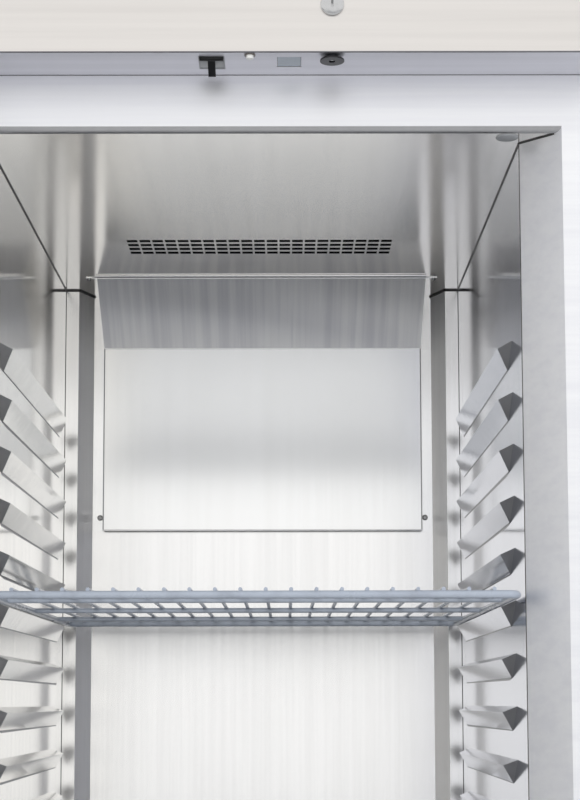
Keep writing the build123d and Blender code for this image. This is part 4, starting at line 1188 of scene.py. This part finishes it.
@dataclass(frozen=True)
class Liner:
    """The cold room: its sheets and the sealant in their joints."""

    front: float = -0.395
    half_width: float = 0.272
    splay: float = 0.038
    edge: float = 0.0065
    strip: float = 0.018
    slant: float = 0.017
    strip_depth: float = 0.687
    depth: float = 0.727
    ceiling: float = 1.660
    floor: float = 0.220
    sheet: float = 0.001
    bend: float = 0.0009
    rolled_edge: float = 0.01
    slots_half_width: float = 0.242
    runner_relief: float = 3e-4
    bead: float = 0.0022
    thin_bead: float = 0.00132
    front_bead: float = 0.0005
    corner_bead: float = 0.0006
    runners: Runners = Runners()
    cover: DuctCover = DuctCover()

    def build(self, model: Model, finish: Finishes) -> None:
        """Dress the sheets and lay the sealant.

        Args:
            model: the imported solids.
            finish: the finishes.
        """
        # The two walls take the lit and the shaded copy of their steel: painted light and shade.
        self._wall(model, "left", finish.lit_left_wall, finish)
        self._wall(model, "right", finish.shaded_right_wall, finish)
        frame = model.dress("front_frame", finish.frame)
        # The header's rolled edge takes the darker fold finish: painted shade.
        refinish(frame, finish.fold, self._is_rolled_edge)
        back = model.dress("inner_back_wall", finish.back)
        refinish(back, finish.recess, self._is_recess_side)
        ceiling = model.dress("inner_ceiling", finish.ceiling)
        # The walls of the grille's slots take the black plastic: painted shade in the slots.
        refinish(ceiling, finish.black_hood_and_slot_shade, self._is_slot_wall)
        model.paint("inner_floor", finish.floor)
        self.cover.build(model, finish)
        model.dress("ceiling_plug", finish.grey)
        model.paint("body_insulation", finish.foam)
        self._sealant(finish)

    def _is_rolled_edge(self, face: bpy.types.MeshPolygon) -> bool:
        """Whether a face of the front frame lies on its header's rolled edge."""
        turned = face.normal.z < -0.15 and face.normal.y < -0.1
        return turned and face.center.z > self.ceiling - self.rolled_edge

    def _is_recess_side(self, face: bpy.types.MeshPolygon) -> bool:
        """Whether a face of the back wall is one of its recess' slanted sides."""
        return 0.3 < abs(face.normal.x) < 0.97 and face.normal.y < 0

    def _is_slot_wall(self, face: bpy.types.MeshPolygon) -> bool:
        """Whether a face of the ceiling is a wall of one of the grille's slots."""
        return abs(face.normal.z) < 0.5 and abs(face.center.x) < self.slots_half_width

    def _is_runner_end(self, face: bpy.types.MeshPolygon) -> bool:
        """Whether a face of a wall is a runner's pressed end."""
        turned = abs(face.normal.y) > 0.3 and abs(face.normal.x) > 0.03
        return turned and abs(face.center.x) < self.half_width - self.runner_relief

    def _refill(self, form: Form) -> None:
        """Fill a wall's two flat faces anew round the leaning ends.

        Args:
            form: the wall.
        """
        for plane in (self.half_width, self.half_width + self.sheet):
            flat = [
                face
                for face in form.mesh.faces
                if all(abs(abs(vert.co.x) - plane) < 1e-5 for vert in face.verts)
            ]
            held = set(flat)
            rim = [
                edge
                for edge in form.mesh.edges
                if sum(face in held for face in edge.link_faces) == 1
            ]
            bmesh.ops.delete(form.mesh, geom=flat, context="FACES")
            bmesh.ops.triangle_fill(form.mesh, use_beauty=True, use_dissolve=False, edges=rim)
        bmesh.ops.recalc_face_normals(form.mesh, faces=form.mesh.faces)

    def _wall(
        self, model: Model, side: str, metal: bpy.types.Material, finish: Finishes
    ) -> None:
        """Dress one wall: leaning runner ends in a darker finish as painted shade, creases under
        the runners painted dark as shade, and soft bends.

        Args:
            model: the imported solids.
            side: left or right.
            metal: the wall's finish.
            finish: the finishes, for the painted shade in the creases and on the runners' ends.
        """
        node = f"inner_wall_{side}"
        form = model.form(node, f"{node}_shown")
        runners = self.runners
        for end in zip(runners.ends, runners.end_slopes, runners.end_holds):
            runners.lean(form, *end)
        self._refill(form)
        form.join_planes()
        low_edges = runners.low_edges(form, self.half_width)
        # Material 1 is the dark crease finish: painted shade along each runner's lower bend.
        form.bevel(low_edges, runners.crease_shade_width, 3, material=1)
        LOG.info("%s: %d creases", node, len(low_edges))
        form.soften(self.bend, 3)
        wall = form.piece(
            "cabinet",
            "liner_steel",
            metal,
            [node],
            recalculate=False,
            smooth=SMOOTH_ANGLE,
            softened=True,
        )
        wall.data.materials.append(finish.crease_shade)
        # The runners' pressed ends take the darker steel: painted shade.
        refinish(wall, finish.runner_end_shade, self._is_runner_end)

    def _sealant(self, finish: Finishes) -> None:
        """Lay sealant along every joint of the sheets."""
        form = Form("joint_sealant")
        near, mid = self.front + self.splay, self.front + self.strip_depth
        far = self.front + self.depth
        for side in (-1, 1):
            wall = side * self.half_width
            corner = side * (self.half_width + self.splay - self.edge)
            inner = side * (self.half_width - self.strip)
            recess = side * (self.half_width - self.strip - self.slant)
            joints: list[tuple[Point, Point, float]] = []
            for level in (self.ceiling, self.floor):
                start = (wall, near, level)
                joints += [
                    (start, (wall, mid, level), self.thin_bead),
                    (start, (corner, self.front + self.edge, level), self.thin_bead),
                    ((wall, mid, level), (inner, mid, level), self.bead),
                    ((inner, mid, level), (recess, far, level), self.bead),
                ]
            joints += [
                ((wall, near, self.floor), (wall, near, self.ceiling), self.front_bead),
                ((wall, mid, self.floor), (wall, mid, self.ceiling), self.corner_bead),
            ]
            for start, end, radius in joints:
                form.rod(start, end, radius, segments=12)
        form.piece("cabinet", "gasket", finish.sealant)


@dataclass(frozen=True)
class CoverScrews:
    """Pan-head screws with cross recesses that hold the duct cover."""

    face_seat: Point = (0.2264, 0.331, 1.346)
    face_radius: float = 0.00435
    lip_seat: Point = (0.2326, 0.2215, 1.659)
    lip_radius: float = 0.0032
    rise: float = 0.0024
    crown: float = 0.62
    rounding: float = 0.35
    recess_arm: float = 0.56
    recess_half_width: float = 0.13
    recess_floor: float = 0.35
    recess_turn: float = 0.5
    sides: int = 32

    def _head(self, seat: Point, way: Point, radius: float) -> Form:
        """Shape one head with its recess.

        Args:
            seat: centre of the head's seat.
            way: direction in which the head stands out.
            radius: the head's radius.

        Returns:
            The form.
        """
        form = Form("head")
        form.rod((0.0, 0.0, 0.0), (0.0, 0.0, self.rise), radius, radius * self.crown, self.sides)
        form.soften(self.rise * self.rounding, 3, 20.0)
        arm, width = radius * self.recess_arm, radius * self.recess_half_width
        for across, along in ((arm, width), (width, arm)):
            slot = Form("recess")
            slot.block(
                (-across, -along, self.rise * self.recess_floor), (across, along, self.rise * 2)
            )
            form.carve(slot)
        turn = Vector(way).to_track_quat("Z", "Y").to_matrix().to_4x4()
        spin = Matrix.Rotation(self.recess_turn, 4, "Z")
        form.move(form.mesh.verts, Matrix.Translation(seat) @ turn @ spin)
        return form

    def build(self, model: Model, finish: Finishes) -> None:
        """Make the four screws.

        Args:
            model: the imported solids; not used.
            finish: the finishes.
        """
        form = Form("cover_screw_heads")
        for side in (-1, 1):
            for (across, depth, level), way, radius in (
                (self.face_seat, (0, -1, 0), self.face_radius),
                (self.lip_seat, (0, 0, -1), self.lip_radius),
            ):
                form.join(self._head((side * across, depth, level), way, radius).mesh)
        form.piece("cabinet", "fastener_steel", finish.screws, ["cover_screws"])


@dataclass(frozen=True)
class Fascia:
    """The panel above the door with its controls, and the fittings under it."""

    front: float = -0.4584
    level: float = 1.7187
    half_width: float = 0.3495
    frame_front: float = -0.395
    underside: float = 0.002
    line_inset: float = 0.0003
    bend_radius: float = 0.0008
    joint_radius: float = 0.0004
    line_sides: int = 12
    window_low: Point = (0.1385, -0.4612, 1.9002)
    window_high: Point = (0.1715, -0.4606, 1.9172)
    window_edge: float = 0.0002

    def build(self, model: Model, finish: Finishes) -> None:
        """Dress the fascia and its fittings.

        Args:
            model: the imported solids.
            finish: the finishes.
        """
        panel = model.dress("fascia_panel", finish.fascia)
        # The underside takes the darker copy: painted shade under the panel.
        refinish(panel, finish.under, self._is_underside)
        for node, material, edge in (
            ("controller", finish.black, 0.0),
            ("main_switch_frame", finish.black, 0.0),
            ("main_switch_rocker", finish.black, 0.0004),
            ("door_switch_housing", finish.grey, 0.0),
            ("door_switch_lever", finish.black, 0.0003),
            ("light_button_collar", finish.collar, 0.0),
            ("light_button", finish.white, 0.0),
            ("lamp_lens", finish.lens, 0.0008),
            ("lock_bolt_guide", finish.dark_fittings, 0.0004),
            ("lock_bolt", finish.fittings, 0.0),
            ("lock_barrel", finish.fittings, 0.0),
            ("key_set", finish.grey, 0.0003),
            ("key_down", finish.grey, 0.0003),
            ("key_up", finish.grey, 0.0003),
        ):
            model.dress(node, material, edge)
        self._display(finish)
        self._lines(finish)

    def _is_underside(self, face: bpy.types.MeshPolygon) -> bool:
        """Whether a face of the panel looks down from its underside."""
        return face.normal.z < -0.9 and face.center.z < self.level + self.underside

    def _lines(self, finish: Finishes) -> None:
        """Draw the bend along the lower edge in dark painted shade, and the joint behind the
        underside.
        """
        bend = Form("fascia_bend")
        bend.crossbar(
            self.half_width,
            self.front + self.line_inset,
            self.level + self.line_inset,
            self.bend_radius,
            self.line_sides,
        )
        bend.piece("cabinet", "casing_steel", finish.crease_shade)
        joint = Form("fascia_joint")
        joint.crossbar(
            self.half_width,
            self.frame_front - self.line_inset,
            self.level,
            self.joint_radius,
            self.line_sides,
        )
        joint.piece("cabinet", "gasket", finish.sealant)

    def _display(self, finish: Finishes) -> None:
        """Set the dark window into the controller's face."""
        form = Form("display_window")
        form.block(self.window_low, self.window_high)
        form.soften(self.window_edge, 1)
        form.piece("cabinet", "black_plastic", finish.display)


@dataclass(frozen=True)
class Door:
    """The door, standing open, with its gasket and bow handle."""

    pivot: tuple[float, float] = (-0.334, -0.440)
    open_angle: float = 105.0
    face: float = -0.405
    gasket_half_width: float = 0.334
    gasket_low: float = 0.171
    gasket_high: float = 1.6997
    gasket_width: float = 0.022
    gasket_depth: float = 0.0096
    foot_depth: float = 0.004
    foot_margin: float = 0.0045
    foot_width: float = 0.013
    nose_round: float = 0.0022

    def _turn(self) -> Matrix:
        """Way from the closed door to the open one."""
        pivot = Vector((*self.pivot, 0.0))
        return (
            Matrix.Translation(pivot)
            @ Matrix.Rotation(-math.radians(self.open_angle), 4, "Z")
            @ Matrix.Translation(-pivot)
        )

    def _ring(self, near: float, far: float, margin: float, width: float) -> Form:
        """Shape one square ring of the gasket, with rounded edges.

        Args:
            near: Y of its foot.
            far: Y of its nose.
            margin: how far it lies inside the gasket's outline.
            width: its width.

        Returns:
            The ring.
        """
        wide = 2 * (self.gasket_half_width - margin)
        tall = self.gasket_high - self.gasket_low - 2 * margin
        middle = Vector((0.0, near, (self.gasket_high + self.gasket_low) / 2))
        upright = Matrix.Rotation(-math.pi / 2, 4, "X") @ Matrix.Diagonal((wide, tall, 1, 1))
        form = Form("ring")
        ring = form.mesh
        bmesh.ops.create_grid(
            ring, x_segments=1, y_segments=1, size=0.5, matrix=Matrix.Translation(middle) @ upright
        )
        bmesh.ops.inset_region(
            ring, faces=ring.faces[:], thickness=width, use_even_offset=True, use_boundary=True
        )
        inner = min(ring.faces, key=lambda face: (face.calc_center_median() - middle).length)
        bmesh.ops.delete(ring, geom=[inner], context="FACES_ONLY")
        grown = bmesh.ops.extrude_face_region(ring, geom=ring.faces[:])
        verts = [item for item in grown["geom"] if isinstance(item, bmesh.types.BMVert)]
        bmesh.ops.translate(ring, vec=(0.0, far - near, 0.0), verts=verts)
        bmesh.ops.recalc_face_normals(ring, faces=ring.faces)
        nose = [
            edge
            for edge in ring.edges
            if all(abs(vert.co.y - far) < 1e-6 for vert in edge.verts)
            and edge.calc_face_angle(0.0) > 1.0
        ]
        form.bevel(nose, self.nose_round, 4)
        return form

    def build(self, model: Model, finish: Finishes) -> None:
        """Dress the door.

        Args:
            model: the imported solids.
            finish: the finishes.
        """
        model.dress("door_skin", finish.casing, 0.0004, 1)
        model.dress("door_liner", finish.back)
        model.dress("door_handle", finish.fittings, 0.0022, 4)
        model.dress("hinge_brackets", finish.fittings, 0.0008)
        model.paint("hinge_bushes", finish.white)
        model.paint("door_insulation", finish.foam)
        form = Form("gasket_profile")
        step, nose = self.face + self.foot_depth, self.face + self.gasket_depth
        form.join(self._ring(self.face, step, self.foot_margin, self.foot_width).mesh)
        form.join(self._ring(step, nose, 0.0, self.gasket_width).mesh)
        form.move(form.mesh.verts, self._turn())
        form.piece("door", "gasket", finish.gasket, ["door_gasket"])


@dataclass(frozen=True)
class Shelves:
    """The plastic-dipped wire shelves."""

    names: tuple[str, ...] = ("shelf_upper", "shelf_middle", "shelf_lower")
    smooth: float = 50.0

    def build(self, model: Model, finish: Finishes) -> None:
        """Dress the shelves.

        Args:
            model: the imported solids.
            finish: the finishes.
        """
        for name in self.names:
            model.dress(name, finish.coating, smooth=self.smooth)


@dataclass(frozen=True)
class CoolingUnit:
    """The machinery above the ceiling."""

    coil_left: float = 0.010
    coil_right: float = 0.300
    coil_middle: float = -0.295
    coil_low: float = 1.732
    row_step: float = 0.048
    rows: int = 5
    tube: float = 0.0048
    fan_across: float = 0.155
    fan_level: float = 1.852
    rings_at: float = -0.3265
    spokes_at: float = -0.329
    guard_rings: tuple[float, ...] = (0.030, 0.055, 0.080, 0.105)
    guard_wire: float = 0.0015
    spokes: int = 4
    spoke_reach: float = 0.108
    seam_middle: Point = (-0.175, -0.210, 1.830)
    shell_radius: float = 0.082
    seam_bead: float = 0.0032
    galvanised: tuple[str, ...] = ("unit_base", "condensate_pan", "drip_tray", "fan_bulkhead")
    coils: tuple[str, ...] = ("condenser_coil", "evaporator_coil")

    def build(self, model: Model, finish: Finishes) -> None:
        """Dress the machinery.

        Args:
            model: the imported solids.
            finish: the finishes.
        """
        for node, material, edge in (
            ("compressor", finish.enamel, 0.0),
            ("condenser_shroud", finish.galvanised, 0.0),
            ("condenser_fan_motor", finish.motor, 0.0),
            ("condenser_fan", finish.black, 0.0),
            ("evaporator_hood", finish.black_hood_and_slot_shade, 0.003),
            ("evaporator_fan_motor", finish.motor, 0.0),
            ("evaporator_fan", finish.black, 0.0),
            ("refrigerant_pipes", finish.copper, 0.0),
            ("cable_gland", finish.black, 0.0),
        ):
            model.dress(node, material, edge)
        for node in self.galvanised:
            model.paint(node, finish.galvanised)
        for node in self.coils:
            model.paint(node, finish.fins)
        self._bends(finish)
        self._guard(finish)
        self._seam(finish)

    def _bends(self, finish: Finishes) -> None:
        """Join the condenser's tubes by return bends, right and left by turns."""
        form = Form("return_bends")
        for row in range(self.rows - 1):
            side, across = (1, self.coil_right) if row % 2 == 0 else (-1, self.coil_left)
            form.hoop(
                (across, self.coil_middle, self.coil_low + (row + 1) * self.row_step),
                (0.0, side, 0.0),
                (0.0, 0.0, self.row_step / 2),
                self.tube,
                angle=math.pi,
                steps=14,
                sides=12,
            )
        form.piece("cabinet", "copper", finish.copper)

    def _guard(self, finish: Finishes) -> None:
        """Guard the condenser's air side with wire rings on crossed wires."""
        form = Form("condenser_guard")
        middle = (self.fan_across, self.rings_at, self.fan_level)
        for reach in self.guard_rings:
            form.hoop(
                middle, (0.0, 1.0, 0.0), (reach, 0.0, 0.0), self.guard_wire, steps=56, sides=8
            )
        middle = Vector((self.fan_across, self.spokes_at, self.fan_level))
        for turn in range(self.spokes):
            angle = math.pi / self.spokes * turn
            spoke = Vector((math.cos(angle), 0.0, math.sin(angle))) * self.spoke_reach
            form.rod(
                tuple(middle - spoke), tuple(middle + spoke), self.guard_wire, segments=10
            )
        form.piece("cabinet", "fastener_steel", finish.fittings)

    def _seam(self, finish: Finishes) -> None:
        """Run the welded seam round the compressor's shell."""
        form = Form("shell_seam")
        form.hoop(
            self.seam_middle,
            (0.0, 0.0, 1.0),
            (self.shell_radius, 0.0, 0.0),
            self.seam_bead,
            steps=72,
        )
        form.piece("cabinet", "compressor_paint", finish.enamel)


@dataclass(frozen=True)
class Casing:
    """Outer sheets and feet."""

    sides: tuple[str, ...] = ("outer_side_left", "outer_side_right")
    galvanised: tuple[str, ...] = ("outer_back", "outer_base", "roof_panel")
    feet: tuple[str, ...] = (
        "foot_sleeves",
        "foot_front_left",
        "foot_front_right",
        "foot_rear_left",
        "foot_rear_right",
    )

    def build(self, model: Model, finish: Finishes) -> None:
        """Dress the casing.

        Args:
            model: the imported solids.
            finish: the finishes.
        """
        for node in self.sides:
            model.dress(node, finish.casing)
        for node in self.galvanised:
            model.paint(node, finish.galvanised)
        for node in self.feet:
            model.dress(node, finish.fittings)


# Room, light and camera


@dataclass(frozen=True)
class Lamp:
    """A soft rectangular lamp: its place, the point that it faces, size, watts and colour."""

    name: str
    place: Point
    aim: Point
    size: tuple[float, float]
    power: float
    tint: Colour

    def hang(self) -> None:
        """Add the lamp to the scene, unseen in what metal mirrors."""
        data = bpy.data.lights.new(self.name, "AREA")
        data.shape = "RECTANGLE"
        data.size, data.size_y = self.size
        data.energy, data.color = self.power, self.tint
        lamp = bpy.data.objects.new(self.name, data)
        lamp.location = self.place
        way = Vector(self.aim) - Vector(self.place)
        lamp.rotation_euler = way.to_track_quat("-Z", "Y").to_euler()
        lamp.visible_glossy = False
        bpy.context.scene.collection.objects.link(lamp)


@dataclass(frozen=True)
class Studio:
    """Pale floor, soft light and the camera at the photograph's place."""

    camera_place: Point = (0.0325, -2.123, 1.0901)
    pitch: float = 0.1026
    yaw: float = 0.0023
    roll: float = 0.0018
    lens: float = 79.65
    sensor: float = 36.0
    shift: float = 0.15
    clip: tuple[float, float] = (0.05, 60.0)
    soft_tint: Colour = (0.95, 0.97, 1.0)
    soft_strength: float = 0.62
    floor_reach: float = 9.0
    floor_level: float = -0.0005
    floor_tints: tuple[Colour, Colour] = ((0.80, 0.80, 0.80), (0.84, 0.84, 0.84))
    lamps: tuple[Lamp, ...] = (
        Lamp(
            name="front_light",
            place=(-0.6, -3.6, 2.4),
            aim=(0.0, -0.1, 1.1),
            size=(2.2, 1.6),
            power=55.0,
            tint=(1.0, 0.985, 0.96),
        ),
        Lamp(
            name="side_light",
            place=(2.6, -1.8, 2.2),
            aim=(0.2, -0.2, 1.2),
            size=(1.6, 1.8),
            power=22.0,
            tint=(0.95, 0.97, 1.0),
        ),
    )

    def _camera(self) -> None:
        """Place the camera."""
        data = bpy.data.cameras.new("view")
        data.lens, data.sensor_width, data.shift_y = self.lens, self.sensor, self.shift
        data.clip_start, data.clip_end = self.clip
        camera = bpy.data.objects.new("view", data)
        turn = (
            Matrix.Rotation(-self.yaw, 4, "Z")
            @ Matrix.Rotation(math.pi / 2 + self.pitch, 4, "X")
            @ Matrix.Rotation(-self.roll, 4, "Z")
        )
        camera.matrix_world = Matrix.Translation(self.camera_place) @ turn
        bpy.context.scene.collection.objects.link(camera)
        bpy.context.scene.camera = camera

    def _world(self) -> None:
        """Fill the surroundings: white behind the object and in what metal mirrors."""
        world = bpy.data.worlds.new("surroundings")
        bpy.context.scene.world = world
        world.use_nodes = True
        nodes, links = world.node_tree.nodes, world.node_tree.links
        nodes.clear()
        path = nodes.new("ShaderNodeLightPath")
        factor = path.outputs["Is Camera Ray"]
        for ray in ("Is Glossy Ray", "Is Transmission Ray"):
            either = nodes.new("ShaderNodeMath")
            either.operation = "MAXIMUM"
            links.new(factor, either.inputs[0])
            links.new(path.outputs[ray], either.inputs[1])
            factor = either.outputs[0]
        mix = nodes.new("ShaderNodeMixShader")
        links.new(factor, mix.inputs[0])
        for place, (tint, strength) in enumerate(
            ((self.soft_tint, self.soft_strength), ((1.0, 1.0, 1.0), 1.0)), start=1
        ):
            light = nodes.new("ShaderNodeBackground")
            light.inputs["Color"].default_value = (*tint, 1.0)
            light.inputs["Strength"].default_value = strength
            links.new(light.outputs[0], mix.inputs[place])
        out = nodes.new("ShaderNodeOutputWorld")
        links.new(mix.outputs[0], out.inputs[0])

    def _floor(self) -> None:
        """Lay the pale floor."""
        form = Form("pale_floor")
        bmesh.ops.create_grid(form.mesh, x_segments=1, y_segments=1, size=self.floor_reach)
        data = bpy.data.meshes.new(form.name)
        form.mesh.to_mesh(data)
        form.mesh.free()
        paint = Paint("pale_floor")
        cloud = paint.noise((1.2, 1.2, 1.2), 3.0)
        paint.set(Base_Color=paint.mix(cloud, *self.floor_tints), Roughness=0.6)
        data.materials.append(paint.material)
        floor = bpy.data.objects.new(form.name, data)
        floor.location.z = self.floor_level
        bpy.context.scene.collection.objects.link(floor)

    def build(self) -> None:
        """Set up the room, the light and the camera."""
        bpy.context.scene.view_settings.view_transform = "Standard"
        self._camera()
        self._world()
        self._floor()
        for lamp in self.lamps:
            lamp.hang()


def main() -> None:
    """Dress the refrigerator, piece by piece."""
    logging.basicConfig(level=logging.INFO)
    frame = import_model()
    model = Model(frame)
    finish = Finishes()
    Studio().build()
    for part in (Casing(), Liner(), CoverScrews(), Fascia(), Door(), Shelves(), CoolingUnit()):
        LOG.info("building %s", type(part).__name__)
        part.build(model, finish)


if __name__ == "__main__":
    main()
